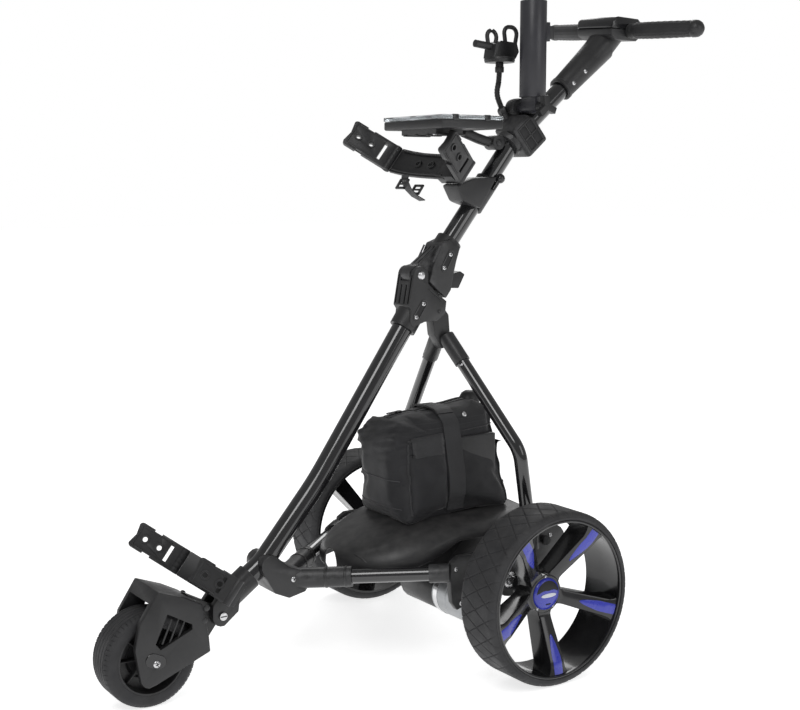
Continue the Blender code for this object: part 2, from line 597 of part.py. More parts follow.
def upper_hinge():
    """The upper casting: a socket on the upper tube, and a tongue that turns between the cheeks."""
    wide = [(-0.0545, 0.6230), (-0.0385, 0.6085), (-0.0200, 0.5930), (-0.0095, 0.6065), (-0.0035, 0.6350),
            (0.0018, 0.6550), (0.0098, 0.6785), (-0.0110, 0.6930), (-0.0300, 0.6860), (-0.0430, 0.6600)]
    tongue = [*arc((FOLD.x, FOLD.z), 0.0165, -40, -260, 10), (-0.0700, 0.6510), (-0.0245, 0.6850),
              (-0.0150, 0.6780), (-0.0200, 0.6200), (-0.0380, 0.6100)]
    leaf = plate(wide, -CHEEK_Y + 0.0005, CHEEK_Y - 0.0005)
    casting = soften(solid("upper_hinge_casting", leaf, CASTING, fold_axis), 0.0025)
    low, high = Vector(UPPER_TUBE[0]), Vector(UPPER_TUBE[1])
    along = (high - low).normalized()
    socket = rod(0.0225, low - along * 0.0060, low + along * 0.0325, 32)
    join(casting, plate(tongue, -TONGUE_Y, TONGUE_Y), socket)
    through = Vector((0, 0.06, 0))
    cut(casting,
        rod(0.0172, (FOLD.x, TONGUE_Y, FOLD.z), (FOLD.x, 0.05, FOLD.z), 28),
        rod(0.0172, (FOLD.x, -0.05, FOLD.z), (FOLD.x, -TONGUE_Y, FOLD.z), 28),
        rod(UPPER_TUBE_R + GAP, low - along * GAP, low + along * 0.08, 32),
        rod(PIN_R + RUNNING, FOLD - through, FOLD + through),
        *[block((-0.0740, y - 0.0018, 0.6645), (-0.0300, y + 0.0018, 0.6765), math.radians(-37))
          for y in (-0.0055, 0.0055)],
        block((-0.0190, -0.0115, 0.6025), (0.0300, 0.0115, 0.6405)))
    lever = [(-0.0165, 0.614), (-0.004, 0.609), (0.0155, 0.608), (0.0285, 0.631), (0.019, 0.637),
             (-0.002, 0.632), (-0.0145, 0.628)]
    soften(solid("fold_latch", plate(lever, -0.0105, 0.0105), PLASTIC, latch_axis), 0.001, 1)


# ---------------------------------------------------------------- bag brackets
def end_plate(name, hinge, direction, frame, parent, length, low=ARM_LOW, high=ARM_HIGH):
    """A perforated arm that swings about a hinge parallel to the tube. Its frame's +Z is along the tube."""
    axis = pivot(f"{name}_axis", frame @ Vector((*hinge, 0)), parent)
    turned = frame @ Matrix.Translation((*hinge, 0)) @ Matrix.Rotation(direction, 4, "Z")
    middle = 0.5 * (low + high)
    outline = [(0.004, low), (length, low), (length + 0.004, low + 0.004), (length, middle),
               (length + 0.004, high - 0.004), (length, high), (0.004, high)]
    arm = soften(solid(name, plate(outline, -0.006, 0.006), PLASTIC, axis, turned), 0.0015, 1)
    join(arm, rod(0.0068, (0, 0, low), (0, 0, high), 16))
    cut(arm,
        *[rod(0.0042, (length - x, -0.02, middle), (length - x, 0.02, middle), 16) for x in (0.016, 0.042)],
        block((0.018, -0.02, low + 0.008), (0.024, 0.02, high - 0.008)),
        *[block((length - 0.036, -0.02, z - 0.004), (length - 0.022, 0.02, z + 0.004)) for z in (low, high)])
    return arm


def knuckle_room(obj, hinge):
    """Cuts the space that an arm's knuckle turns in, from a piece in the bracket's frame."""
    cut(obj, rod(0.0068 + RUNNING, (*hinge, -0.060), (*hinge, 0.060), 16))


def saddle(path, low=ARM_LOW, high=ARM_HIGH):
    """A broad curved band: a path across the tube in the bracket's frame, as a thick strip along Z."""
    bm = bmesh.new()
    rows = [[bm.verts.new((x, y, z)) for x, y in path] for z in (low, high)]
    for a, b, c, d in zip(rows[0], rows[0][1:], rows[1][1:], rows[1]):
        bm.faces.new((a, b, c, d))
    return evaluated(from_bmesh(bm), wall=0.005)


def upper_bracket():
    frame = at(UPPER_BLOCK, UPPER_TILT)
    profile = [(0.0840, 0.7970), (0.0480, 0.7430), (0.0110, 0.7550), (-0.0050, 0.7830), (0.0340, 0.7950)]
    body = soften(solid("upper_bracket_block", plate(profile, -0.0290, 0.0130), PLASTIC, fold_axis), 0.004)
    low, bend = Vector(UPPER_TUBE[0]), Vector(UPPER_TUBE[1])
    along = (bend - low).normalized()
    join(body, rod(0.0205, low + along * 0.1060, low + along * 0.1620, 28))
    left_hinge, right_hinge = (-0.0480, -0.0330), (-0.0840, 0.1480)
    path = [(-0.0600, 0.0000), (-0.0620, 0.0300), (-0.0640, 0.0600), (-0.0670, 0.0900),
            (-0.0730, 0.1180), (-0.0800, 0.1400)]
    band = solid("upper_saddle", saddle(path), PLASTIC, fold_axis, frame)
    join(band, block((-0.0620, -0.0265, ARM_LOW + 0.001), (-0.0440, 0.0200, ARM_HIGH - 0.001)))
    knuckle_room(band, right_hinge)
    knuckle_room(band, left_hinge)
    end_plate("upper_left_arm", left_hinge, math.radians(203), frame, fold_axis, 0.086, ARM_LOW,
              ARM_HIGH - 0.005)
    end_plate("upper_right_arm", right_hinge, math.radians(147), frame, fold_axis, 0.086)
    foot = Vector((0.0740, -0.0235, 0.7700))
    knob_at = foot + along * 0.0300
    knob_axis = pivot("bracket_knob_axis", knob_at, fold_axis)
    knob = solid("bracket_knob", ball(0.0085, knob_at), PLASTIC, knob_axis)
    join(knob, rod(0.0035, foot + along * 0.0060, knob_at, 16))
    cut(body, rod(UPPER_TUBE_R + GAP, low, low + (bend - low) * 1.2, 32),
        rod(0.0035 + GAP, foot + along * 0.0057, knob_at + along * 0.03, 16),
        moved(block((-0.0700, -0.0400, ARM_LOW - 0.002), (-0.0437, 0.0400, ARM_HIGH + 0.002)), frame))


def lower_bracket():
    """The saddle on the front of the clevis, with one arm folded in across it and one reaching out."""
    frame = at(LOWER_BLOCK, math.radians(38))
    low, high = -0.0190, 0.0240
    left_hinge, right_hinge = (-0.0300, -0.0510), (-0.0760, 0.0620)
    bridge = block((-0.0370, -0.0262, low + 0.001), (-0.0293, 0.0262, high - 0.001))
    body = solid("lower_bracket_block", bridge, PLASTIC, ROOT, frame)
    join(body, block((-0.0360, -0.0262, low + 0.002), (-0.0080, -0.0228, high - 0.002)),
         block((-0.0360, 0.0228, low + 0.002), (-0.0080, 0.0262, high - 0.002)),
         block((-0.0262, -0.0500, low + 0.003), (-0.0140, -0.0240, high - 0.003)),
         saddle([(-0.0325, 0.0000), (-0.0380, 0.0240), (-0.0500, 0.0420), (-0.0700, 0.0560)], low, high))
    knuckle_room(body, right_hinge)
    knuckle_room(body, left_hinge)
    end_plate("lower_left_arm", left_hinge, math.radians(150), frame, ROOT, 0.066, low, high)
    end_plate("lower_right_arm", right_hinge, math.radians(148), frame, ROOT, 0.080, low, high)


# ---------------------------------------------------------------- accessories on the upper tube
def accessory_clamp():
    """The split clamp that carries the tray, the umbrella joint and the gooseneck."""
    frame = at(CLAMP, CLAMP_TILT)
    jaws = block((-0.026, -0.028, -0.020), (0.036, 0.028, 0.032))
    body = soften(solid("accessory_clamp", jaws, PLASTIC, fold_axis, frame), 0.006)
    inward = frame.inverted()
    joint = Vector((UMBRELLA_PIVOT.x, 0, UMBRELLA_PIVOT.z))
    barrel_room = rod(0.0180, joint + Vector((0, -0.0600, 0)), joint + Vector((0, 0.0078, 0)), 28)
    cut(body, moved(barrel_room, inward))
    join(body, rod(0.0240, (0, 0, -0.0300), (0, 0, -0.0100), 28),
         moved(rod(0.0090, (0.1130, 0, 0.8600), (0.1500, 0, 0.8700), 20), inward),
         moved(rod(0.0080, GOOSE_FOOT - GOOSE_WAY * 0.0200, GOOSE_FOOT + GOOSE_WAY * 0.0060, 16), inward),
         moved(rod(0.0175, joint + Vector((0, 0.0080, 0)), joint + Vector((0, 0.0300, 0)), 28), inward),
         moved(block((joint.x - 0.0120, 0.0190, 0.8780), (joint.x + 0.0100, 0.0290, 0.9120)), inward))
    cut(body, moved(tube(bent(UPPER_TUBE, [0.10]), UPPER_TUBE_R + GAP, resolution=8), inward))
    cut(body, moved(rod(0.0046, GOOSE_FOOT - GOOSE_WAY * GAP, GOOSE_FOOT + GOOSE_WAY * 0.03, 14), inward))


def umbrella_holder():
    """The umbrella tube stands on a barrel that a winged knob clamps, and a screw grips the shaft."""
    joint, middle = UMBRELLA_PIVOT, UMBRELLA_PIVOT.y
    stands = at((joint.x, middle, 0))
    sleeve = lathe([(0.0230, 1.095), (0.0230, 0.9330), (0, 0.9330), (0, 0.940), (0.0198, 0.944),
                    (0.0198, 1.095)], 32)
    holder = solid("umbrella_tube", sleeve, PLASTIC, umbrella_axis, stands)
    join(holder, rod(0.0095, (0, -0.0180, joint.z), (0, 0.0314, joint.z), 24),
         block((-0.0090, -0.0180, joint.z), (0.0090, 0.0200, 0.9400)),
         block((0.0120, -0.0120, 1.0280), (0.0275, 0.0040, 1.0600)))
    cut(holder, rod(0.0032 + GAP, (0.0150, -0.0040, 1.044), (0.0500, -0.0040, 1.044), 12))
    boss = rod(0.0090, (0, -0.0330, 0), (0, -0.0185, 0), 16)
    knob = solid("wing_knob", boss, PLASTIC, umbrella_axis, at(joint))
    for turn in (20, 140, 260):
        wing = block((0, -0.0420, -0.0055), (0.0190, -0.0300, 0.0055))
        join(knob, moved(wing, Matrix.Rotation(math.radians(turn), 4, "Y")))
    screw_axis = pivot("umbrella_screw_axis", stands @ Vector((0.0205, -0.0040, 1.044)), umbrella_axis)
    shank = rod(0.0032, (0.0205, -0.0040, 1.044), (0.0340, -0.0040, 1.044), 12)
    screw = solid("umbrella_screw", shank, PLASTIC, screw_axis, stands)
    join(screw, block((0.0300, -0.0080, 1.0330), (0.0400, 0.0000, 1.0550)))


def scorecard_tray():
    low, high = TRAY_LOW, TRAY_HIGH
    tray = soften(solid("scorecard_tray", block(low, high), PLASTIC, tray_axis), 0.003)
    wall = 0.004
    cut(tray, block(low + Vector((wall, wall, wall)), high + Vector((-wall, -wall, 0.02))))
    arm = tube(bent([(0.030, 0, 0.872), (0.060, 0, 0.862), (0.0850, 0, 0.8555)], [0.03]), 0.009)
    join(tray, arm, rod(0.0125, (0.097, -0.014, 0.8550), (0.097, 0.014, 0.8550), 20),
         block((-0.055, -0.040, 0.8655), (0.000, 0.060, 0.8745)))
    lid_axis = pivot("tray_lid_axis", (high.x, 0, high.z + 0.0065), tray_axis)
    sheet = block((low.x, low.y, high.z + GAP), (high.x, high.y, high.z + 0.0065))
    lid = solid("tray_lid", sheet, CLEAR, lid_axis)
    thin = 0.002
    cut(lid, block((low.x + thin, low.y + thin, high.z - 0.01), high + Vector((-thin, -thin, 0.0048))))


def gooseneck():
    """A bendable stalk with a round-based phone cradle that swivels on it."""
    path = bent([GOOSE_FOOT, GOOSE_FOOT + GOOSE_WAY * 0.0420, CRADLE - Vector((0.002, 0, 0.0360)),
                 CRADLE - Vector((0, 0, 0.0060))], [0.03, 0.03])
    neck = solid("gooseneck", tube(path, 0.0042), RUBBER, fold_axis)
    join(neck, rod(0.0070, CRADLE - Vector((0, 0, 0.0160)), CRADLE - Vector((0, 0, GAP)), 16))
    disc = rod(0.0260, CRADLE, CRADLE + Vector((0, 0, 0.0090)), 28)
    base = solid("phone_cradle", disc, PLASTIC, cradle_axis)
    top = CRADLE + Vector((0, 0, 0.0070))
    clip = [(-0.0240, 0.0), (-0.0200, 0.0230), (-0.0080, 0.0290), (0.0260, 0.0270), (0.0310, 0.0120),
            (0.0240, 0.0)]
    outline = [(CRADLE.x + x, top.z + z) for x, z in clip]
    join(base, plate(outline, CRADLE.y - 0.0150, CRADLE.y + 0.0150),
         rod(0.0065, CRADLE + Vector((-0.0540, 0, 0.0300)), CRADLE + Vector((-0.0150, 0, 0.0260)), 14))
    for start, end, height in ((-0.0300, -0.0040, 0.0540), (0.0080, 0.0400, 0.0620)):
        corners = [(start + 0.006, 0.0240), (start, height), (end, height), (end - 0.008, 0.0240)]
        loop = bent([CRADLE + Vector((x, 0, z)) for x, z in corners], [0.010, 0.012])
        join(base, tube(loop, 0.0038, resolution=3))


# ---------------------------------------------------------------- handle
def handle():
    """The flared stem, the console with its cover and controls, and two swept grips."""
    along = (Vector(UPPER_TUBE[2]) - Vector(UPPER_TUBE[1])).normalized()
    foot = Vector((0.2440, 0, 0.9495))
    twist = Matrix.Translation(HANDLE) @ Matrix.Rotation(HANDLE_TWIST, 4, along)
    flare = rod(0.0208, foot, foot + along * 0.1260, 28, 0.0260)
    stem = soften(solid("handle_stem", flare, PLASTIC, fold_axis), 0.002)
    cut(stem, rod(UPPER_TUBE_R + GAP, foot - along * 0.02, Vector(UPPER_TUBE[2]) + along * GAP, 28))
    under = [(-0.0360, 0.0000), (-0.0330, -0.0120), (-0.0200, -0.0190), (0.0300, -0.0190),
             (0.0430, -0.0100), (0.0430, 0.0000)]
    over = [(-0.0360, 0.0004), (0.0430, 0.0004), (0.0430, 0.0120), (0.0320, 0.0200),
            (-0.0240, 0.0215), (-0.0340, 0.0140)]
    base = soften(solid("console_base", plate(under, -0.0440, 0.0440), PLASTIC, fold_axis, twist), 0.003)
    lid = soften(solid("console_cover", plate(over, -0.0450, 0.0450), PLASTIC, fold_axis, twist), 0.004)
    dial, button = (-0.0060, 0.0120), (0.0160, -0.0240)
    cut(base, block((-0.0270, -0.0390, -0.0120), (0.0370, 0.0390, 0.0100)))
    cut(lid, block((-0.0270, -0.0390, -0.0100), (0.0370, 0.0390, 0.0120)),
        block((-0.0230, -0.0360, 0.0150), (0.0280, 0.0360, 0.0400)),
        rod(0.0034, (*dial, 0), (*dial, 0.0400), 16), rod(0.0075, (*button, 0), (*button, 0.0400), 20))
    board = block((-0.0240, -0.0350, -0.0060), (0.0340, 0.0350, -0.0044))
    solid("controller_board", board, GREEN, fold_axis, twist)
    under_console = plate([(-0.3, -0.0193), (0.3, -0.0193), (0.3, 0.3), (-0.3, 0.3)], -0.3, 0.3)
    cut(stem, moved(under_console, twist))
    dial_axis = pivot("speed_dial_axis", twist @ Vector((*dial, 0.0154)), fold_axis)
    wheel = solid("speed_dial", rod(0.0150, (*dial, 0.0154), (*dial, 0.0205), 28), BLUE, dial_axis, twist)
    join(wheel, rod(0.0030, (*dial, 0.0060), (*dial, 0.0180), 16))
    button_axis = pivot("power_button_axis", twist @ Vector((*button, 0.0200)), fold_axis)
    solid("power_button", rod(0.0068, (*button, 0.0090), (*button, 0.0185), 20), BLUE, button_axis, twist)
    for name, side in SIDES.items():
        end = (0.0360, side * 0.1760, 0.0010)
        path = bent([(0.0100, side * 0.0454, -0.0020), (0.0110, side * 0.0800, -0.0020), end], [0.12])
        grip = solid(f"{name}_grip", tube(path, 0.0138), RUBBER, fold_axis, twist)
        join(grip, ball(0.0145, end))


def tubes():
    path = bent(LOWER_TUBE, [0.6, 0.12])
    solid("lower_tube", tube(path, LOWER_TUBE_R, TUBE_WALL, 5), GLOSS_TUBE)
    path = bent(UPPER_TUBE, [0.10])
    solid("upper_tube", tube(path, UPPER_TUBE_R, TUBE_WALL, 6), GLOSS_TUBE, fold_axis)


tubes()
rear_wheels()
drive()
chassis()
cover()
battery()
front_clevis()
fork()
front_wheel()
lower_hinge()
upper_hinge()
upper_bracket()
lower_bracket()
accessory_clamp()
umbrella_holder()
scorecard_tray()
gooseneck()
handle()
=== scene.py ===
"""Electric golf trolley: the looks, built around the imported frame.

Metres, +Z up. The trolley drives towards -X and its left side is -Y. Places are laid out from the
ground under the rear axle, as in the frame's own design, and at() moves them into the frame.
"""

import json
import math

import bmesh
import bpy
import numpy as np
from mathutils import Matrix, Vector, noise
from mathutils.bvhtree import BVHTree

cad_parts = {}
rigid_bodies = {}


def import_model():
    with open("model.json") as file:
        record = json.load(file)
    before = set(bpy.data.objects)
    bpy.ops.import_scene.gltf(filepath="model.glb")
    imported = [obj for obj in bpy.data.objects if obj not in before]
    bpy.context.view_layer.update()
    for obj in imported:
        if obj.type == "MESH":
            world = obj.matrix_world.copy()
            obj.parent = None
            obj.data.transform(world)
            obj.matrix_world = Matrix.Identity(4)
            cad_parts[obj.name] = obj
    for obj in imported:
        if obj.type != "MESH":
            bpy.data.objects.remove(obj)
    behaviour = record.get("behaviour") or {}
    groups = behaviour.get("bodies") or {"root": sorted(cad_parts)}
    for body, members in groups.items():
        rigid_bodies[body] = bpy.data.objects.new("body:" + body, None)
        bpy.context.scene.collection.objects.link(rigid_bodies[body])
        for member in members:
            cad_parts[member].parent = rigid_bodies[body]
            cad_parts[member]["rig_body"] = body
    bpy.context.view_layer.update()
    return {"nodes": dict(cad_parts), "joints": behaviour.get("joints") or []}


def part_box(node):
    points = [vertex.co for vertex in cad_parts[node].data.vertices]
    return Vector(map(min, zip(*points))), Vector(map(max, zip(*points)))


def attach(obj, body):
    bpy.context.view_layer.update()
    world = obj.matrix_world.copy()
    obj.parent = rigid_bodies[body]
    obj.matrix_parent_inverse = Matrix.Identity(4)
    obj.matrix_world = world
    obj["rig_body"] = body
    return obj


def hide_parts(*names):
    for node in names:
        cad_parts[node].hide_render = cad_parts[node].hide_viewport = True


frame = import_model()
NODES = frame["nodes"]

# ---------------------------------------------------------------- places, from the frame
axle_low, axle_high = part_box("rear_axle")
AXLE_X, AXLE_Z = (axle_low.x + axle_high.x) / 2, (axle_low.z + axle_high.z) / 2
JOINTS = {joint["name"]: joint for joint in frame["joints"]}
SIDES = {"left": -1, "right": 1}
UP = Vector((0, 0, 1))
QUARTER = math.radians(90)


def at(x, y, z):
    """A place given from the ground under the rear axle, in the frame."""
    return Vector((x + AXLE_X, y, z))


def joint_at(name):
    return Vector(JOINTS[name]["pos_m"])


FOLD = joint_at("main_fold")
FORK = joint_at("fork_fold")
FRONT = joint_at("front_wheel_spin")
UMBRELLA = joint_at("umbrella_tilt")
CRADLE = joint_at("cradle_swivel")
MOTOR = joint_at("rotor_spin")

LOWER_R, UPPER_R, SIDE_R = 0.0175, 0.016, 0.0115
LOWER_TUBE = [at(-0.0800, 0, 0.5653), at(-0.261, 0, 0.305), at(-0.364, 0, 0.185), at(-0.420, 0, 0.1455)]
UPPER_TUBE = [at(-0.0180, 0, 0.6634), at(0.142, 0, 0.864), at(0.262, 0, 0.9645)]
YOKE, SIDE_RUN = at(-0.329, 0, 0.1535), Vector((1.2366, 1, 0.0953))
STAY_TOP, STAY_RUN = at(-0.015, 0, 0.541), Vector((0.262, 1, -1.168))
STAY_BEND_Y, STAY_FOOT = 0.164, at(0.045, 0.172, 0.206)
HANDLE = at(0.356, 0, 1.061)
HANDLE_WAY = (UPPER_TUBE[2] - UPPER_TUBE[1]).normalized()
TWIST = Matrix.Translation(HANDLE) @ Matrix.Rotation(math.radians(5), 4, HANDLE_WAY)
STEM_FOOT = at(0.2440, 0, 0.9495)
TYRE_R, TYRE_W, RIM_R = 0.140, 0.083, 0.1270
WHEEL_Y = (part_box("right_tyre")[0].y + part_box("right_tyre")[1].y) / 2
SPOKE_ANGLES = [math.radians(-90 + 72 * i) for i in range(5)]
UPPER_FRAME = Matrix.Translation(at(0.044, 0, 0.769)) @ Matrix.Rotation(math.radians(38.4), 4, "Y")
LOWER_FRAME = Matrix.Translation(at(-0.4200, 0, 0.1437)) @ Matrix.Rotation(math.radians(38), 4, "Y")
CLAMP_FRAME = Matrix.Translation(at(0.1480, 0, 0.869)) @ Matrix.Rotation(math.radians(50), 4, "Y")


def mirror(point, side):
    return Vector((point[0], point[1] * side, point[2]))


def clamp(value):
    return max(0.0, min(1.0, value))


def around(count):
    """Evenly spaced angles once round."""
    return [2 * math.pi * i / count for i in range(count)]


# ---------------------------------------------------------------- materials
def added(tree, kind, inputs, **settings):
    """A new shader node. Each input is given a number, or the output that feeds it."""
    node = tree.nodes.new("ShaderNode" + kind)
    for key, value in settings.items():
        setattr(node, key, value)
    for key, value in inputs.items():
        if isinstance(value, bpy.types.NodeSocket):
            tree.links.new(value, node.inputs[key])
        else:
            node.inputs[key].default_value = value
    return node


def noise_of(tree, space, scale, detail=3.0):
    return added(tree, "TexNoise", {"Scale": scale, "Detail": detail, "Vector": space}).outputs["Fac"]


def ranged(tree, source, low, high, start=0.3, end=0.7):
    """The part of a value between start and end, spread between two numbers."""
    return added(tree, "MapRange", {"From Min": start, "From Max": end, "To Min": low, "To Max": high,
                                    "Value": source}).outputs["Result"]


def mixed(tree, first, second, factor):
    return added(tree, "Mix", {"A": first, "B": second, "Factor": factor}, data_type="RGBA").outputs["Result"]


def worn(tree, colour, base, space, wear):
    """A colour rubbed paler along the edges, in patches."""
    edges = added(tree, "NewGeometry", {}).outputs["Pointiness"]
    patches = ranged(tree, noise_of(tree, space, 120), 0.0, wear)
    rubbed = added(tree, "Math", {0: ranged(tree, edges, 0, 1, 0.53, 0.66), 1: patches}, operation="MULTIPLY")
    pale = (*[min(1.0, c * 3 + 0.05) for c in base], 1)
    return mixed(tree, colour, pale, rubbed.outputs["Value"])


def dusted(tree, colour, space, dust):
    """A colour with pale dust on whatever faces up."""
    normal = added(tree, "NewGeometry", {}).outputs["Normal"]
    upward = added(tree, "SeparateXYZ", {"Vector": normal}).outputs["Z"]
    patches = ranged(tree, noise_of(tree, space, 60, 6), 0.0, dust)
    share = added(tree, "Math", {0: upward, 1: patches}, operation="MULTIPLY", use_clamp=True)
    return mixed(tree, colour, (0.16, 0.155, 0.15, 1), share.outputs["Value"])


def woven(tree, place, scale):
    """The height of two sets of threads that cross."""
    waves = []
    for turn in (0, QUARTER):
        laid = added(tree, "Mapping", {"Rotation": (turn, 0, turn), "Vector": place}).outputs["Vector"]
        waves.append(added(tree, "TexWave", {"Scale": scale, "Vector": laid}, bands_direction="DIAGONAL"))
    return added(tree, "Math", {i: wave.outputs["Fac"] for i, wave in enumerate(waves)}).outputs["Value"]


def surface(name, colour, rough, metallic=0.0, mottle=0.12, spread=0.06, grain=900, bump=0.06,
            stretch=(1, 1, 1), coat=0.0, sheen=0.0, wear=0.0, weave=0.0, dust=0.0):
    """A Principled material: mottled colour, uneven gloss, fine grain, worn edges, weave and dust."""
    made = bpy.data.materials.new(name)
    made.use_nodes = True
    tree = made.node_tree
    shader = tree.nodes["Principled BSDF"]
    for socket, value in (("Metallic", metallic), ("Coat Weight", coat), ("Coat Roughness", 0.08),
                          ("Sheen Weight", sheen), ("Sheen Roughness", 0.4)):
        shader.inputs[socket].default_value = value
    place = added(tree, "TexCoord", {}).outputs["Object"]
    space = added(tree, "Mapping", {"Scale": stretch, "Vector": place}).outputs["Vector"]
    dark, light = [(*[c * share for c in colour], 1) for share in (1 - mottle, 1 + mottle)]
    tone = mixed(tree, dark, light, ranged(tree, noise_of(tree, space, 22), 0, 1))
    if wear:
        tone = worn(tree, tone, colour, space, wear)
    if dust:
        tone = dusted(tree, tone, space, dust)
    gloss = ranged(tree, noise_of(tree, space, 35), rough - spread, rough + spread)
    height = woven(tree, place, weave) if weave else noise_of(tree, space, grain, 2.0)
    relief = added(tree, "Bump", {"Strength": bump, "Distance": 0.0008, "Height": height}).outputs["Normal"]
    for socket, source in (("Base Color", tone), ("Roughness", gloss), ("Normal", relief)):
        tree.links.new(source, shader.inputs[socket])
    return made


def clear_plastic():
    made = surface("clear_plastic", (0.80, 0.83, 0.85), 0.07, mottle=0.03, spread=0.03, grain=60, bump=0.02)
    shader = made.node_tree.nodes["Principled BSDF"]
    shader.inputs["Transmission Weight"].default_value = 0.9
    shader.inputs["IOR"].default_value = 1.2
    return made


TUBE_PAINT = surface("gloss_tube_paint", (0.008, 0.008, 0.009), 0.13, mottle=0.1, spread=0.03, grain=500,
                     bump=0.015, coat=0.8)
CASTING = surface("satin_casting", (0.017, 0.017, 0.018), 0.38, grain=1400, bump=0.14, wear=0.5, dust=0.06)
PLASTIC = surface("moulded_plastic", (0.014, 0.014, 0.015), 0.42, grain=1800, bump=0.12, wear=0.25, dust=0.08)
SHELL = surface("cover_plastic", (0.020, 0.020, 0.021), 0.40, grain=1500, bump=0.10, mottle=0.08, dust=0.22)
GLOSS = surface("gloss_plastic", (0.008, 0.008, 0.009), 0.20, grain=700, bump=0.03, coat=0.3, dust=0.05)
TREAD = surface("tyre_rubber", (0.022, 0.022, 0.024), 0.66, mottle=0.22, spread=0.1, grain=2200, bump=0.25,
                dust=0.16)
GRIP = surface("grip_rubber", (0.012, 0.012, 0.013), 0.60, mottle=0.2, grain=2600, bump=0.3, sheen=0.15)
BLUE = surface("blue_plastic", (0.030, 0.040, 0.40), 0.27, mottle=0.06, spread=0.05, grain=900, bump=0.05,
               coat=0.4)
BADGE = surface("pale_badge", (0.62, 0.64, 0.70), 0.35, mottle=0.05, grain=900, bump=0.05)
SILVER = surface("motor_silver", (0.40, 0.41, 0.42), 0.36, 0.85, mottle=0.05, grain=300, bump=0.05,
                 stretch=(1, 6, 1))
CHROME = surface("bright_chrome", (0.72, 0.72, 0.73), 0.12, 1.0, mottle=0.04, spread=0.04, grain=300,
                 bump=0.02)
STEEL = surface("zinc_steel", (0.62, 0.62, 0.63), 0.26, 1.0, mottle=0.08, spread=0.08, grain=1200, bump=0.05)
BRONZE = surface("gear_bronze", (0.42, 0.29, 0.12), 0.36, 1.0, mottle=0.12, grain=900, bump=0.08)
BOARD = surface("circuit_board", (0.02, 0.15, 0.06), 0.42, mottle=0.4, grain=400, bump=0.2)
UMBRELLA_GREY = surface("umbrella_grey", (0.026, 0.026, 0.031), 0.36, grain=900, bump=0.06, dust=0.05)
NYLON = surface("nylon_fabric", (0.009, 0.009, 0.011), 0.68, mottle=0.22, spread=0.08, bump=0.2, sheen=0.2,
                weave=420, dust=0.06)
WEBBING = surface("webbing", (0.021, 0.021, 0.023), 0.60, mottle=0.15, bump=0.3, sheen=0.2, weave=260)
STITCH = surface("thread", (0.05, 0.05, 0.053), 0.7, grain=3000, bump=0.3)
# Real black for the console display, the stem seam and the cap mark. Everywhere else it is painted shade:
# screw recesses, a recess on the hub cap, bolt slots, motor vents, pad hollows, grid cells and the pocket
# mouth.
BLACK_AND_PAINTED_SHADE = surface("black_and_painted_shade", (0.006, 0.006, 0.007), 0.6, grain=900, bump=0.1)
CLEAR = clear_plastic()


# ---------------------------------------------------------------- mesh helpers
def mesh_of(vertices, faces):
    mesh = bpy.data.meshes.new("shape")
    mesh.from_pydata([tuple(map(float, v)) for v in vertices], [], faces)
    return mesh


def from_bmesh(bm):
    mesh = bpy.data.meshes.new("shape")
    bmesh.ops.recalc_face_normals(bm, faces=bm.faces)
    bm.to_mesh(mesh)
    bm.free()
    return mesh


def merged(meshes):
    """Several meshes as one, each still its own closed shell, with their faces turned out."""
    bm = bmesh.new()
    for mesh in meshes:
        bm.from_mesh(mesh)
    return from_bmesh(bm)


def moved(mesh, matrix):
    mesh.transform(matrix)
    return mesh


def grid_faces(rows, columns):
    """The quads of a grid of points, counted row by row."""
    wide = columns + 1
    starts = [i * wide + j for i in range(rows) for j in range(columns)]
    return [(k, k + 1, k + wide + 1, k + wide) for k in starts]


def lofted(rings, close=False):
    """Closed rings of points joined in order: capped at both ends, or joined back to the first."""
    count, size = len(rings), len(rings[0])
    faces = []
    for i in range(count if close else count - 1):
        for j in range(size):
            a, b, c = i * size + j, i * size + (j + 1) % size, ((i + 1) % count) * size
            faces.append((a, b, c + (j + 1) % size, c + j))
    if not close:
        faces += [tuple(range(size)), tuple((count - 1) * size + j for j in reversed(range(size)))]
    return merged([mesh_of([p for ring in rings for p in ring], faces)])


def turned(profile, steps=96):
    """A closed (radius, height) profile turned about Z."""
    return lofted([[(r * math.cos(a), r * math.sin(a), h) for r, h in profile] for a in around(steps)], True)


def disc(profile, steps=64):
    """An open (radius, height) profile from axis to axis turned about Z, with its poles closed."""
    bm = bmesh.new()
    rings = []
    for r, h in profile:
        spots = [(r * math.cos(a), r * math.sin(a), h) for a in around(steps)] if r > 0 else [(0, 0, h)]
        rings.append([bm.verts.new(spot) for spot in spots])
    for low, high in zip(rings, rings[1:]):
        for i in range(steps):
            k = (i + 1) % steps
            if len(low) == 1:
                bm.faces.new((low[0], high[i], high[k]))
            elif len(high) == 1:
                bm.faces.new((low[i], high[0], low[k]))
            else:
                bm.faces.new((low[i], high[i], high[k], low[k]))
    return from_bmesh(bm)


def along(direction, up="Y"):
    """A rotation that turns +Z to a direction."""
    return Vector(direction).to_track_quat("Z", up).to_matrix().to_4x4()


def facing(centre, direction):
    return Matrix.Translation(centre) @ along(direction)


def bent(corners, radii, steps=14):
    """The corners' line with each inner corner turned into an arc of its radius."""
    corners = [Vector(c) for c in corners]
    path = [corners[0]]
    for before, corner, after, radius in zip(corners, corners[1:], corners[2:], radii):
        into, out = (before - corner).normalized(), (after - corner).normalized()
        half = into.angle(out) / 2
        reach = radius / math.tan(half)
        middle = corner + (into + out).normalized() * radius / math.sin(half)
        first, last = corner + into * reach - middle, corner + out * reach - middle
        path += [middle + first.slerp(last, i / steps).normalized() * radius for i in range(steps + 1)]
    return path + [corners[-1]]


def dense(path, step=0.01):
    made = []
    for a, b in zip(path, path[1:]):
        count = max(1, int((b - a).length / step))
        made += [a.lerp(b, i / count) for i in range(count)]
    return made + [path[-1]]


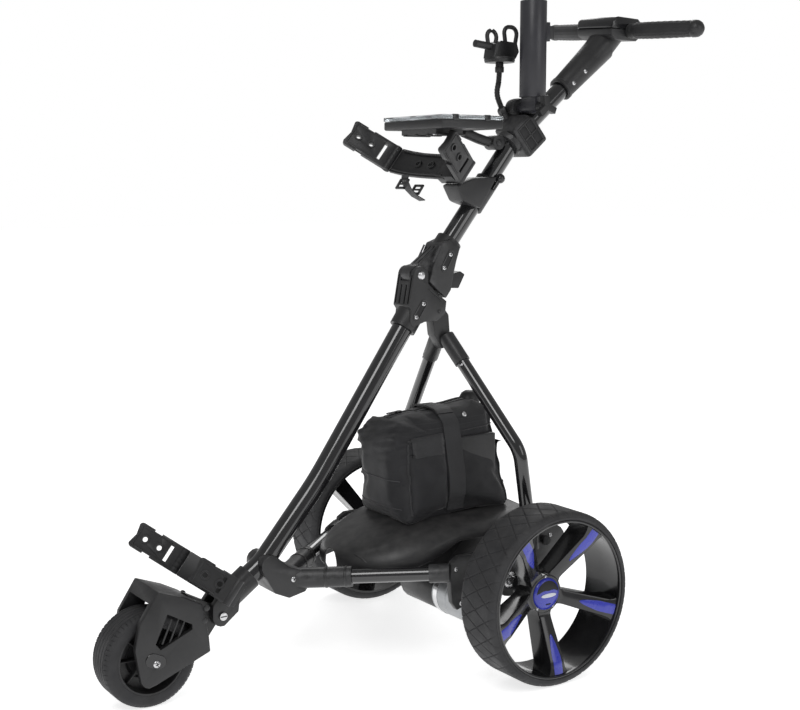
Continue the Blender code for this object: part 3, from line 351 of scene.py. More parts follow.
def spaced(a, b, count):
    return [Vector(a).lerp(Vector(b), i / count) for i in range(count + 1)]


def way_at(path, i):
    """The direction of a path at one of its points."""
    return (path[min(i + 1, len(path) - 1)] - path[max(i - 1, 0)]).normalized()


def ring_at(place, way, up, section):
    """A section of (across, out) points set square to a direction."""
    out = way.cross(up).normalized()
    side = out.cross(way).normalized()
    return [place + side * a + out * b for a, b in section]


def swept(path, section, up=Vector((0, 1, 0))):
    """A section carried along a path, with its ends closed."""
    path = [Vector(p) for p in path]
    return lofted([ring_at(p, way_at(path, i), up, section) for i, p in enumerate(path)])


def circle(radius, steps=32):
    return [(radius * math.cos(a), radius * math.sin(a)) for a in around(steps)]


def rounded_box(size, radius=0.002, segments=3):
    bm = bmesh.new()
    bmesh.ops.create_cube(bm, size=1, matrix=Matrix.Diagonal((*size, 1)))
    bmesh.ops.bevel(bm, geom=bm.edges[:], offset=min(radius, 0.45 * min(size)), segments=segments,
                    profile=0.5, affect="EDGES")
    return from_bmesh(bm)


def block(size, radius, place, segments=3, turn=Matrix.Identity(4)):
    """A rounded box, turned and then put in its place."""
    return moved(rounded_box(size, radius, segments), Matrix.Translation(place) @ turn)


def stadium(length, width, steps=8):
    """A flat outline with round ends, along X."""
    run, r = (length - width) / 2, width / 2
    points = []
    for start, centre in ((-90, run), (90, -run)):
        for i in range(steps + 1):
            a = math.radians(start + 180 * i / steps)
            points.append((centre + r * math.cos(a), r * math.sin(a)))
    return points


def slab(outline, low, high, chamfer=0.0006):
    """A flat outline given height along Z, with a small chamfer round its top."""
    cx, cy = [sum(p[axis] for p in outline) / len(outline) for axis in (0, 1)]

    def ring(z, inset):
        made = []
        for x, y in outline:
            pull = max(0.0, 1 - inset / max(math.hypot(x - cx, y - cy), 1e-6))
            made.append((cx + (x - cx) * pull, cy + (y - cy) * pull, z))
        return made

    return lofted([ring(low, 0), ring(high - chamfer, 0), ring(high, chamfer)])


def linked(name, data):
    obj = bpy.data.objects.new(name, data)
    bpy.context.scene.collection.objects.link(obj)
    return obj


def piece(name, mesh, body, finish, slot, *stands_for, matrix=None, angle=38):
    """Adds one visible piece that rides on a body and may stand for CAD nodes."""
    obj = linked(name, mesh)
    mesh.materials.clear()
    mesh.materials.append(finish)
    mesh.shade_smooth()
    mesh.set_sharp_from_angle(angle=math.radians(angle))
    if matrix is not None:
        obj.matrix_world = matrix
    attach(obj, body)
    if stands_for:
        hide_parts(*stands_for)
    return obj


def evaluated(obj):
    """The object's mesh with its modifiers applied; the object itself is removed."""
    made = bpy.data.meshes.new_from_object(obj.evaluated_get(bpy.context.evaluated_depsgraph_get()))
    bpy.data.objects.remove(obj)
    return made


def modified(mesh, *changes):
    """The mesh after modifiers, each given as (type, settings)."""
    obj = linked("maker", mesh)
    for kind, settings in changes:
        modifier = obj.modifiers.new(kind.title(), kind)
        for key, value in settings.items():
            setattr(modifier, key, value)
    bpy.context.view_layer.update()
    return evaluated(obj)


def refined(finish, slot, width, segments, *nodes):
    """CAD nodes' own shapes with their flat faces merged and their edges rounded."""
    for node in nodes:
        bm = bmesh.new()
        bm.from_mesh(NODES[node].data)
        bmesh.ops.remove_doubles(bm, verts=bm.verts, dist=2e-6)
        bmesh.ops.dissolve_limit(bm, angle_limit=math.radians(0.6), verts=bm.verts, edges=bm.edges)
        mesh = modified(from_bmesh(bm), ("BEVEL", dict(width=width, segments=segments, limit_method="ANGLE",
                                                       angle_limit=math.radians(32), use_clamp_overlap=True)))
        piece(node + "_finish", mesh, NODES[node]["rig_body"], finish, slot, node, angle=50)


def screw_head(name, centre, out, body, radius=0.0042, cross=True, finish=STEEL):
    """A domed screw head with a cross recess in painted shade, standing on a surface."""
    dome = disc([(0, radius * 0.45), (radius * 0.55, radius * 0.40), (radius * 0.9, radius * 0.18),
                 (radius, 0), (radius, -0.0012), (0, -0.0012)], 28)
    place = facing(centre, out)
    piece(name, dome, body, finish, "zinc_steel", matrix=place)
    if cross:
        # The cross recess is not cut: thin black bars on the dome are painted shade of it.
        arms = [block((radius * 1.1, radius * 0.26, 0.0006), 0.0002, (0, 0, radius * 0.43), 1,
                      Matrix.Rotation(turn, 4, "Z")) for turn in (0.3, 0.3 + QUARTER)]
        piece(name + "_recess", merged(arms), body, BLACK_AND_PAINTED_SHADE, "plastics", matrix=place)


# ---------------------------------------------------------------- wheels
HUB_R, SPOKE_END, FACE_BEND = 0.022, 0.1245, 0.104
BORE_R, AXLE_END = 0.0063, 0.0001


def wheel_frame(side):
    """A rear wheel's own frame: +Z to the outside, +Y up."""
    out = Matrix.Rotation(QUARTER, 4, "X") @ Matrix.Rotation(0 if side < 0 else math.pi, 4, "Y")
    return Matrix.Translation((AXLE_X, side * WHEEL_Y, AXLE_Z)) @ out


def tyre_mesh(radius, width, inner, shoulder, groove, steps_round=720):
    """A tyre whose tread is cut by grooves: groove(angle, height) gives the depth at a place."""
    half = width / 2
    flat = half - shoulder
    section = [(inner, half - 0.0005), (inner + 0.004, half + 0.0003), (radius - shoulder - 0.002, half)]
    for i in range(7):
        a = QUARTER * (1 - i / 6)
        section.append((radius - shoulder + shoulder * math.cos(a), flat + shoulder * math.sin(a)))
    wall = list(section)
    steps = 46
    section += [(radius, flat - 2 * flat * i / steps) for i in range(1, steps)]
    section += [(r, -h) for r, h in reversed(wall)]
    rings = []
    for angle in around(steps_round):
        ring = []
        for r, h in section:
            tread = clamp((r - (radius - shoulder * 0.9)) / (shoulder * 0.5))
            cut = r - groove(angle, h) * tread
            ring.append((cut * math.cos(angle), cut * math.sin(angle), h))
        rings.append(ring)
    return lofted(rings, close=True)


def off_line(place, pitch):
    """How far a place is from the nearest of evenly spaced lines."""
    return abs(place / pitch - round(place / pitch)) * pitch


def groove_depth(*nearness):
    """A groove's depth from how near its middle each line is, 1 on the line and under 0 away from it."""
    return 0.0013 * clamp(max(nearness) * 1.6)


def crossed_grooves(angle, height):
    """Thin grooves slanting both ways across the rear tread, as a wide herringbone."""
    pitch, slant, half_width = 2 * math.pi * TYRE_R / 30, 0.62, 0.0011
    return groove_depth(*[1 - off_line(angle * TYRE_R + way * slant * height, pitch) / half_width
                          for way in (1, -1)])


def ringed_grooves(angle, height):
    """Five grooves round the front tread, and small nicks across its shoulders."""
    ring = 1 - off_line(height, 0.0092) / 0.0012
    nick = 1 - off_line(angle * 0.0741, 0.0078) / 0.0007
    return groove_depth(ring, nick if abs(height) > 0.0215 else ring)


def face_height(r):
    """How far out a spoke's face stands at a radius: it dishes in towards the hub."""
    return 0.001 + 0.032 * clamp((r - 0.034) / 0.070) + 0.004 * max(0.0, r - FACE_BEND) / 0.0205


def flared_spoke(angle):
    """A deep spoke that flares at the hub and at the rim, as one smooth loft."""
    rings = []
    steps = 26
    for t in [i / steps for i in range(steps + 1)]:
        r = HUB_R + (SPOKE_END - HUB_R) * t
        half = (0.0215 + 0.09 * (r - HUB_R)) / 2
        half += 0.0065 * max(0.0, 1 - (r - HUB_R) / 0.020) ** 2
        half += 0.0060 * max(0.0, 1 - (SPOKE_END - r) / 0.018) ** 2
        low, high = -0.036 + 0.032 * t, face_height(r)
        edge = min(0.003, half * 0.5)
        right = [(half, low), (half, high - edge), (half - 0.3 * edge, high - 0.3 * edge),
                 (half - edge, high)]
        rings.append([(r, -half, low)] + [(r, a, h) for a, h in right]
                     + [(r, -a, h) for a, h in reversed(right[1:])])
    return moved(lofted(rings), Matrix.Rotation(angle, 4, "Z"))


def spoke_inlay(angle):
    """The blue inlay on a spoke's face: a long pointed drop, wide at the rim."""
    rings = []
    steps = 20
    for t in [i / steps for i in range(steps + 1)]:
        r = 0.063 + (0.1215 - 0.063) * t
        half = 0.0005 + 0.0078 * min(1.0, t * 1.9) ** 0.6
        crown, rise = half * 0.6, face_height(r)
        rings.append([(r, a, rise + h) for a, h in ((-half, -0.002), (half, -0.002), (half, 0.0002),
                                                    (crown, 0.0011), (-crown, 0.0011), (-half, 0.0002))])
    return moved(lofted(rings), Matrix.Rotation(angle, 4, "Z"))


def rear_wheel(name, side):
    place = wheel_frame(side)
    tread = tyre_mesh(TYRE_R, TYRE_W, 0.1273, 0.010, crossed_grooves)
    piece(f"{name}_tyre_tread", tread, "drive_axle", TREAD, "tyres", f"{name}_tyre", matrix=place, angle=30)
    half = TYRE_W / 2 - 0.001
    barrel = turned([(RIM_R, half - 0.001), (RIM_R, -half), (RIM_R - 0.004, -half), (RIM_R - 0.0045, 0),
                     (RIM_R - 0.0040, half - 0.006), (RIM_R - 0.0048, half - 0.003),
                     (RIM_R - 0.0042, half - 0.0003), (RIM_R - 0.0022, half + 0.0006),
                     (RIM_R - 0.0004, half)], 144)
    hub = turned([(0.0310, 0.0010), (0.0316, -0.002), (0.0300, -0.030), (0.020, -0.058), (BORE_R, -0.058),
                  (BORE_R, 0.0012), (0.027, 0.0020), (0.0300, 0.0018)], 64)
    rim = merged([barrel, hub] + [flared_spoke(angle) for angle in SPOKE_ANGLES])
    piece(f"{name}_rim_shell", rim, "drive_axle", GLOSS, "wheel_rims", f"{name}_rim", matrix=place, angle=35)
    piece(f"{name}_rim_inlays", merged([spoke_inlay(angle) for angle in SPOKE_ANGLES]), "drive_axle", BLUE,
          "blue_trim", matrix=place, angle=50)
    for i in (0, 2, 4):
        angle = SPOKE_ANGLES[i] + 0.63
        spot = Vector((0.0275 * math.cos(angle), 0.0275 * math.sin(angle), 0.0016))
        screw_head(f"{name}_hub_screw_{i}", place @ spot, place.to_3x3() @ UP, "drive_axle", 0.0028)


CAP_DOME = [(0, 0.0090), (0.008, 0.0089), (0.015, 0.0083), (0.0205, 0.0070), (0.0240, 0.0052),
            (0.0258, 0.0028), (0.0260, 0.0021)]


def cap_height(r):
    """How far the hub cap's dome stands out at a radius."""
    return float(np.interp(r, [p[0] for p in CAP_DOME], [p[1] for p in CAP_DOME]))


def hub_cap(name, side):
    """The domed cap: blue, a dark arc over its upper half that is painted shade of a recess, and a pale blank
    badge.
    """
    place = wheel_frame(side)
    cap = disc(CAP_DOME + [(0.0225, 0.0023), (0, 0.0023)], 96)
    piece(f"{name}_hub_cap_dome", cap, "drive_axle", BLUE, "blue_trim", f"{name}_hub_cap", matrix=place)
    # The dark crescent laid just over the dome is painted shade of a recess, not a cut.
    crescent = []
    steps, across = 24, 6
    for i in range(steps + 1):
        a = math.radians(8 + 164 * i / steps)
        width = 0.0150 * math.sin(math.pi * i / steps) ** 0.7 + 0.0006
        radii = [0.0222 - width * j / across for j in range(across + 1)]
        ring = [(r * math.cos(a), r * math.sin(a), cap_height(r) + 0.0004) for r in radii]
        crescent.append(ring + [(x, y, z - 0.0010) for x, y, z in reversed(ring)])
    piece(f"{name}_hub_cap_painted_shade_arc", lofted(crescent), "drive_axle", BLACK_AND_PAINTED_SHADE, "plastics", matrix=place, angle=60)
    badge = slab([(0.0150 * math.cos(a), 0.0034 * math.sin(a) - 0.001) for a in around(40)],
                 0.0070, 0.0097, 0.0004)
    piece(f"{name}_hub_cap_badge", badge, "drive_axle", BADGE, "blue_trim", matrix=place)
    bar = block((0.009, 0.0022, 0.0012), 0.0004, (0, -0.0155, 0.0083))
    piece(f"{name}_hub_cap_mark", bar, "drive_axle", BLACK_AND_PAINTED_SHADE, "plastics", matrix=place)


def bright_axle():
    ends, r = axle_high.y, (axle_high.z - axle_low.z) / 2
    shaft = turned([(AXLE_END, -ends), (r - 0.0008, -ends), (r, -ends + 0.0008), (r, ends - 0.0008),
                    (r - 0.0008, ends), (AXLE_END, ends)], 40)
    piece("rear_axle_shaft", shaft, "drive_axle", STEEL, "zinc_steel", "rear_axle",
          matrix=Matrix.Translation((AXLE_X, 0, AXLE_Z)) @ Matrix.Rotation(QUARTER, 4, "X"))


def front_wheel():
    place = Matrix.Translation(FRONT) @ Matrix.Rotation(QUARTER, 4, "X")
    low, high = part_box("front_tyre")
    radius, width = (high.z - low.z) / 2, high.y - low.y
    tread = tyre_mesh(radius, width, 0.054, 0.010, ringed_grooves, 480)
    piece("front_tyre_tread", tread, "front_wheel", TREAD, "tyres", "front_tyre", matrix=place, angle=30)
    half = width / 2
    profile = [(0.0537, half - 0.0008), (0.0537, 0.0008 - half), (0.0500, 0.0008 - half), (0.0480, -0.004),
               (0.0165, -0.004), (0.0150, 0.0030 - half), (0.0056, 0.0030 - half), (0.0056, half - 0.0030),
               (0.0150, half - 0.0030), (0.0165, 0.004), (0.0300, 0.0045), (0.0320, 0.0065), (0.0340, 0.0045),
               (0.0480, 0.004), (0.0496, half - 0.004), (0.0510, half - 0.0012)]
    ribs = [moved(block((0.030, 0.0030, 0.026), 0.001, (0.0325, 0, 0)), Matrix.Rotation(a, 4, "Z"))
            for a in around(8)]
    piece("front_rim_shell", merged([turned(profile, 96)] + ribs), "front_wheel", PLASTIC, "wheel_rims",
          "front_rim", matrix=place)


# ---------------------------------------------------------------- fork
def side_slab(name, outline, low, high, chamfer, body, finish, centre, side, tilt=Matrix.Identity(4)):
    """A thin raised panel on a piece's side, its length laid along the piece."""
    slot = "castings" if finish == CASTING else "plastics"
    place = Matrix.Translation(centre) @ tilt @ along((0, side, 0), "X") @ Matrix.Rotation(QUARTER, 4, "Z")
    piece(name, slab(outline, low, high, chamfer), body, finish, slot, matrix=place)


def fork_details():
    refined(PLASTIC, "plastics", 0.0016, 3, "front_fork")
    refined(CASTING, "castings", 0.0012, 3, "front_clevis")
    refined(STEEL, "zinc_steel", 0.0004, 2, "front_axle", "fork_bolt")
    for name, side in SIDES.items():
        way = (0, side, 0)
        side_slab(f"fork_axle_panel_{name}", stadium(0.034, 0.022), -0.0004, 0.0011, 0.0005, "fork", GLOSS,
                  (FRONT.x - 0.001, side * 0.0452, FRONT.z + 0.004), side,
                  Matrix.Rotation(math.radians(25), 4, "Y"))
        screw_head(f"fork_axle_nut_{name}", Vector((FRONT.x, side * 0.0464, FRONT.z)), way, "fork", 0.0060)
        # The black bar on each bolt end is painted shade of its slot.
        bar = block((0.0104, 0.0016, 0.0006), 0.0002, (0, 0, 0.0003))
        piece(f"fork_bolt_slot_{name}", bar, "frame", BLACK_AND_PAINTED_SHADE, "plastics",
              matrix=facing(Vector((FORK.x, side * 0.0263, FORK.z)), way))
        for i, (x, z) in enumerate(((-0.483, 0.145), (-0.487, 0.126))):
            boss = disc([(0, 0.0016), (0.0036, 0.0014), (0.0048, 0.0004), (0.0050, -0.002), (0, -0.002)], 32)
            piece(f"fork_neck_boss_{name}_{i}", boss, "fork", PLASTIC, "plastics",
                  matrix=facing(at(x, side * 0.0444, z), way))
        slats = [block((0.0030, 0.0016, 0.040), 0.0006, at(x, side * 0.0410, 0.119), 3,
                       Matrix.Rotation(math.radians(24), 4, "Y")) for x in (-0.524, -0.536, -0.548)]
        piece(f"fork_window_slats_{name}", merged(slats), "fork", PLASTIC, "plastics")


# ---------------------------------------------------------------- tubes and chassis castings
def tube_piece(name, path, radius, body, wall=0.0018):
    """A round hollow tube: outer skin, inner skin and open ends."""
    path = [Vector(p) for p in path]
    up = Vector((0, 1, 0)) if abs((path[-1] - path[0]).normalized().y) < 0.6 else UP
    ways = [way_at(path, i) for i in range(len(path))]
    spots = list(zip(path, ways))
    rings = [ring_at(p, way, up, circle(radius, 48)) for p, way in spots]
    rings += [ring_at(p, way, up, circle(radius - wall, 48)) for p, way in reversed(spots)]
    piece(name + "_skin", lofted(rings, close=True), body, TUBE_PAINT, "tubes", name, angle=40)


def tubes():
    tube_piece("lower_tube", dense(bent(LOWER_TUBE, [0.6, 0.12], 20)), LOWER_R, "frame")
    tube_piece("upper_tube", dense(bent(UPPER_TUBE, [0.10], 20)), UPPER_R, "handle")
    for name, side in SIDES.items():
        near, far = (YOKE + mirror(SIDE_RUN * y, side) for y in (0.030, 0.1640))
        tube_piece(f"{name}_side_tube", [near, near.lerp(far, 0.5), far], SIDE_R, "frame")
        top, bend = (STAY_TOP + mirror(STAY_RUN * y, side) for y in (0.028, STAY_BEND_Y))
        path = dense(bent([top, bend, mirror(STAY_FOOT, side)], [0.055], 16))
        tube_piece(f"{name}_stay", path, SIDE_R, "frame")


def chassis_castings():
    refined(CASTING, "castings", 0.0016, 3, "chassis_yoke", "stay_crotch")
    for name, side in SIDES.items():
        way = (0, side, 0)
        refined(CASTING, "castings", 0.0012, 3, f"{name}_axle_bracket")
        refined(STEEL, "zinc_steel", 0.0004, 2, f"{name}_bearing")
        knob = turned([(AXLE_END, 0.007), (0.0070, 0.0066), (0.0080, 0.0054), (0.0082, 0.0010), (0.0060, 0.0),
                       (0.0055, -0.003), (AXLE_END, -0.003)], 48)
        piece(f"{name}_bracket_stop", knob, "frame", PLASTIC, "plastics",
              matrix=facing(at(0.071, side * 0.180, 0.197), way))
        for i, (x, z) in enumerate(((-0.1105, 0.176), (-0.100, 0.118), (0.040, 0.206), (0.085, 0.203))):
            screw_head(f"{name}_bracket_screw_{i}", at(x, side * 0.1776, z), way, "frame", 0.0036)
        for i, (x, z, long) in enumerate(((-0.060, 0.178, 0.046), (-0.058, 0.136, 0.050))):
            side_slab(f"{name}_bracket_pad_{i}", stadium(long, 0.012), 0.0, 0.0010, 0.0004, "frame", CASTING,
                      at(x, side * 0.1774, z), side)
        band = turned([(0.0166, -0.0022), (0.0174, -0.0012), (0.0174, 0.0012), (0.0166, 0.0022),
                       (0.0150, 0.0022), (0.0150, -0.0022)], 48)
        for i, distance in enumerate((0.046, 0.066)):
            piece(f"{name}_yoke_band_{i}", band.copy(), "frame", CASTING, "castings",
                  matrix=facing(YOKE + mirror(SIDE_RUN * distance, side), mirror(SIDE_RUN, side)))
        screw_head(f"yoke_screw_{name}", at(-0.322, side * 0.0274, 0.158), way, "frame", 0.0050)
        for label, x, y, z in (("near", -0.0425, 0.045, 0.5163), ("near_low", -0.0363, 0.055, 0.5017)):
            middle = STAY_TOP + mirror(STAY_RUN * y, side)
            out = (at(x, side * y, z) - middle).normalized()
            screw_head(f"stay_screw_{label}_{name}", middle + out * 0.0135, out, "frame", 0.0034)


# ---------------------------------------------------------------- drive and its cover
def drive_pieces():
    refined(CASTING, "castings", 0.0014, 3, "gearbox_casing")
    refined(STEEL, "zinc_steel", 0.0003, 2, "motor_rotor")
    refined(BRONZE, "gear_bronze", 0.0003, 2, "drive_gear")
    low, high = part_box("motor_can")
    r, near, far = (high.x - low.x) / 2, low.y, high.y
    place = Matrix.Translation((MOTOR.x, 0, MOTOR.z)) @ Matrix.Rotation(-QUARTER, 4, "X")
    can = turned([(r, far), (r, near + 0.046), (r - 0.0012, near + 0.045), (r - 0.0012, near + 0.043),
                  (r, near + 0.042), (r, near + 0.014), (r - 0.0010, near + 0.008), (r - 0.006, near + 0.001),
                  (r - 0.012, near), (0.0130, near), (0.0110, near + 0.0015), (AXLE_END, near + 0.0015),
                  (AXLE_END, near + 0.006), (r - 0.003, near + 0.008), (r - 0.003, far)], 96)
    piece("motor_can_shell", can, "frame", SILVER, "motor_shell", "motor_can", matrix=place)
    # The vents are not cut: black blocks on the motor's end are painted shade of the openings.
    vents = [moved(block((0.0050, 0.0100, 0.0006), 0.0003, (0, 0.0225, near)), Matrix.Rotation(a, 4, "Z"))
             for a in around(12)]
    piece("motor_vents", merged(vents), "frame", BLACK_AND_PAINTED_SHADE, "plastics", matrix=place)
    band = turned([(r + 0.0006, far - 0.014), (r + 0.0006, far - 0.004), (r - 0.001, far - 0.004),
                   (r - 0.001, far - 0.014)], 96)
    piece("motor_band", band, "frame", CHROME, "motor_shell", matrix=place)
    for i, angle in enumerate((40, 160, 280)):
        a = math.radians(angle)
        spot = Vector((0.0300 * math.cos(a), 0.0300 * math.sin(a), near + 0.0012))
        screw_head(f"motor_screw_{i}", place @ spot, (0, -1, 0), "frame", 0.0030)


COVER_NOSE, COVER_WAIST, COVER_TAIL = (at(x, 0, 0).x for x in (-0.236, -0.100, 0.100))
COVER_HALF, COVER_LOW, COVER_HIGH, COVER_EDGE = 0.126, 0.186, 0.2335, 0.160


def cover_point(x, across, lift_by=0.0):
    """A place on the cover's skin; across runs from -1 at its left edge to 1."""
    narrow = max(0.0, (COVER_WAIST - x) / (COVER_WAIST - COVER_NOSE))
    width = COVER_HALF * math.sqrt(max(1e-4, 1 - narrow ** 2))
    rise = min(1.0, (x - COVER_NOSE) / 0.16)
    edge = COVER_EDGE + 0.045 * clamp((x - AXLE_X + 0.20) / 0.13) ** 1.5
    top = COVER_LOW + (COVER_HIGH - COVER_LOW) * math.sin(rise * QUARTER)
    lift = (1 - abs(across) ** 2.6) ** (1 / 2.6)
    return Vector((x, width * across, edge + (top - edge) * lift + lift_by))


def cover_height(x, y):
    """The height of the cover's skin over a place, or 0 beside it."""
    half = cover_point(x, 1.0).y
    return cover_point(x, y / half).z if abs(y) < half else 0.0


def cover():
    columns, rows = 90, 72
    start = COVER_NOSE + 0.0015
    vertices = []
    for i in range(columns + 1):
        x = start + (COVER_TAIL - start) * (i / columns) ** 1.25
        fade = clamp(1 - (x - COVER_NOSE) / 0.30)
        for j in range(rows + 1):
            across = math.sin((j / rows - 0.5) * math.pi)
            vertices.append(cover_point(x, across, -0.0018 * fade * clamp((abs(across) - 0.72) / 0.05)))
    skin = modified(mesh_of(vertices, grid_faces(columns, rows)),
                    ("SOLIDIFY", dict(thickness=0.003, offset=-1)),
                    ("BEVEL", dict(width=0.0008, segments=2, limit_method="ANGLE",
                                   angle_limit=math.radians(50))))
    piece("drive_cover_shell", merged([skin]), "frame", SHELL, "plastics", "drive_cover", angle=45)
    for name, inset, size in (("lip", 0.985, 0.0026), ("inner_lip", 0.66, 0.0014)):
        path = []
        for s in [j / 60 for j in range(-60, 61)]:
            x = COVER_NOSE + 0.004 + 0.5 * (COVER_TAIL - COVER_NOSE) * abs(s) ** 1.8 + (1 - inset) * 0.10
            across = inset * math.copysign(min(1.0, (abs(s) * 3.2) ** 0.8), s)
            path.append(cover_point(x, across, 0.0004))
        piece(f"drive_cover_{name}", swept(path, circle(size, 12), UP), "frame", SHELL, "plastics")


# ---------------------------------------------------------------- battery bag
BAG_HALF, BAG_WALL_TOP, STRAP_X = 0.073, 0.356, -0.0345
DOWN = (0, 0, -1)


def bag_base():
    """The sewn shape before it is filled: upright walls, and a roof that tapers to a narrow ridge."""
    side = [(-0.136, 0.2245), (0.083, 0.2330), (0.073, 0.355), (0.067, 0.408), (0.040, 0.421),
            (-0.075, 0.407), (-0.134, 0.396), (-0.151, 0.372)]
    rows = []
    for share in (-1, -0.5, 0, 0.5, 1):
        rows.append([at(x, share * BAG_HALF * (1 - 0.62 * max(0.0, (z - BAG_WALL_TOP) / 0.060)), z)
                     for x, z in side])
    return lofted(rows)


def inflated(base, pressure=4.0, frames=20, cap=0.007):
    """Fills a sewn shape with air as cloth, keeping every point within cap of where it was sewn."""
    obj = linked("cloth", base)
    modifier = obj.modifiers.new("Cloth", "CLOTH")
    settings = modifier.settings
    settings.quality = 6
    settings.mass = 0.25
    settings.tension_stiffness = 18
    settings.compression_stiffness = 18
    settings.bending_stiffness = 0.6
    settings.use_pressure = True
    settings.uniform_pressure_force = pressure
    settings.effector_weights.gravity = 0
    modifier.collision_settings.use_self_collision = False
    scene = bpy.context.scene
    scene.frame_start, scene.frame_end = 1, frames
    modifier.point_cache.frame_start, modifier.point_cache.frame_end = 1, frames
    for number in range(1, frames + 1):
        scene.frame_set(number)
    made = evaluated(obj)
    scene.frame_set(1)
    for new, old in zip(made.vertices, base.vertices):
        step = new.co - old.co
        if step.length > cap:
            new.co = old.co + step.normalized() * cap
    return made


def folded(mesh):
    """Soft creases: shallow folds that run down the walls and gather at the upper front corners."""
    for vertex in mesh.vertices:
        p = vertex.co
        local = Vector((p.x - AXLE_X, p.y, p.z))
        crease = noise.noise(Vector((local.x * 16, local.y * 16, local.z * 5)))
        fine = noise.noise(Vector((local.x * 55 + 7, local.y * 55, local.z * 30)))
        gather = max(0.0, 1 - (local - Vector((-0.130, math.copysign(0.05, local.y), 0.372))).length / 0.06)
        depth = 0.0016 * crease + 0.0005 * fine + 0.0022 * gather * math.sin(local.z * 420 + local.y * 90)
        away = Vector((local.x + 0.03, p.y, 0))
        if away.length > 1e-4 and local.z > 0.2414:
            vertex.co = p + away.normalized() * depth
    return mesh


def battery():
    mesh = modified(bag_base(), ("REMESH", dict(mode="VOXEL", voxel_size=0.006)))
    mesh = inflated(mesh)
    mesh = folded(modified(mesh, ("SUBSURF", dict(levels=2, render_levels=2))))
    for vertex in mesh.vertices:
        vertex.co.z = max(vertex.co.z, cover_height(vertex.co.x, vertex.co.y) + 0.0006)
    bag = piece("battery_bag_cloth", mesh, "frame", NYLON, "bag_fabric", "battery_bag", angle=70)
    refined(PLASTIC, "plastics", 0.002, 3, "battery_pack")
    skin = BVHTree.FromPolygons([v.co for v in mesh.vertices], [p.vertices for p in mesh.polygons])
    for name, side in SIDES.items():
        bag_side(skin, name, side)
    bag_top(skin)
    for name, height in (("bag_front_seam", 0.300), ("bag_front_seam_low", 0.252)):
        line_on(skin, name, spaced(at(-0.3, -0.062, height), at(-0.3, 0.062, height), 24), (1, 0, 0), 0.0010,
                STITCH)


def on_skin(skin, start, way, lift=0.0008):
    """The bag's surface met by a ray, lifted off it a little, or None."""
    way = Vector(way).normalized()
    hit = skin.ray_cast(Vector(start), way)[0]
    return None if hit is None else hit - way * lift


def strip_on(skin, name, starts, way, across, width, thick, finish):
    """A flat strip laid on the bag: rays from starts find its middle line."""
    path = [p for p in (on_skin(skin, start, way, thick * 0.3) for start in starts) if p is not None]
    half, across = width / 2, Vector(across).normalized()
    section = ((-half, 0), (-half, thick), (half, thick), (half, 0))
    rings = []
    for i, p in enumerate(path):
        out = across.cross(way_at(path, i)).normalized()
        if out.dot(Vector(way)) > 0:
            out = -out
        rings.append([p + across * a + out * b for a, b in section])
    piece(name, lofted(rings), "frame", finish, "bag_fabric", angle=40)


def patch_on(skin, name, corners, way, thick, finish, rows=16, columns=16, bulge=0.0):
    """A panel laid on the bag, spread between four corners and pushed on to its skin."""
    a, b, c, d = [Vector(p) for p in corners]
    way = Vector(way)
    front, back = [], []
    found = None
    for s in [i / rows for i in range(rows + 1)]:
        for t in [j / columns for j in range(columns + 1)]:
            start = a.lerp(b, t).lerp(d.lerp(c, t), s) - way * 0.15
            found = on_skin(skin, start, way, 0.0) or found
            swell = bulge * (math.sin(math.pi * s) * math.sin(math.pi * t)) ** 0.6 if bulge else 0.0
            edge = min(1.0, min(s, t, 1 - s, 1 - t) * 12)
            front.append(found - way * (thick * (0.35 + 0.65 * edge) + swell))
            back.append(found + way * 0.001)
    size = (rows + 1) * (columns + 1)
    quads = grid_faces(rows, columns)
    faces = quads + [tuple(size + v for v in reversed(quad)) for quad in quads]
    wide = columns + 1
    border = list(range(columns)) + [i * wide + columns for i in range(rows)]
    border += [rows * wide + columns - j for j in range(columns)] + [(rows - i) * wide for i in range(rows)]
    for first, second in zip(border, border[1:] + border[:1]):
        faces.append((first, size + first, size + second, second))
    piece(name, merged([mesh_of(front + back, faces)]), "frame", finish, "bag_fabric", angle=50)


def line_on(skin, name, starts, way, radius, finish):
    path = [p for p in (on_skin(skin, start, way, radius * 0.4) for start in starts) if p is not None]
    piece(name, swept(path, circle(radius, 10), Vector((0.3, 1, 0.2)).normalized()), "frame", finish,
          "bag_fabric")


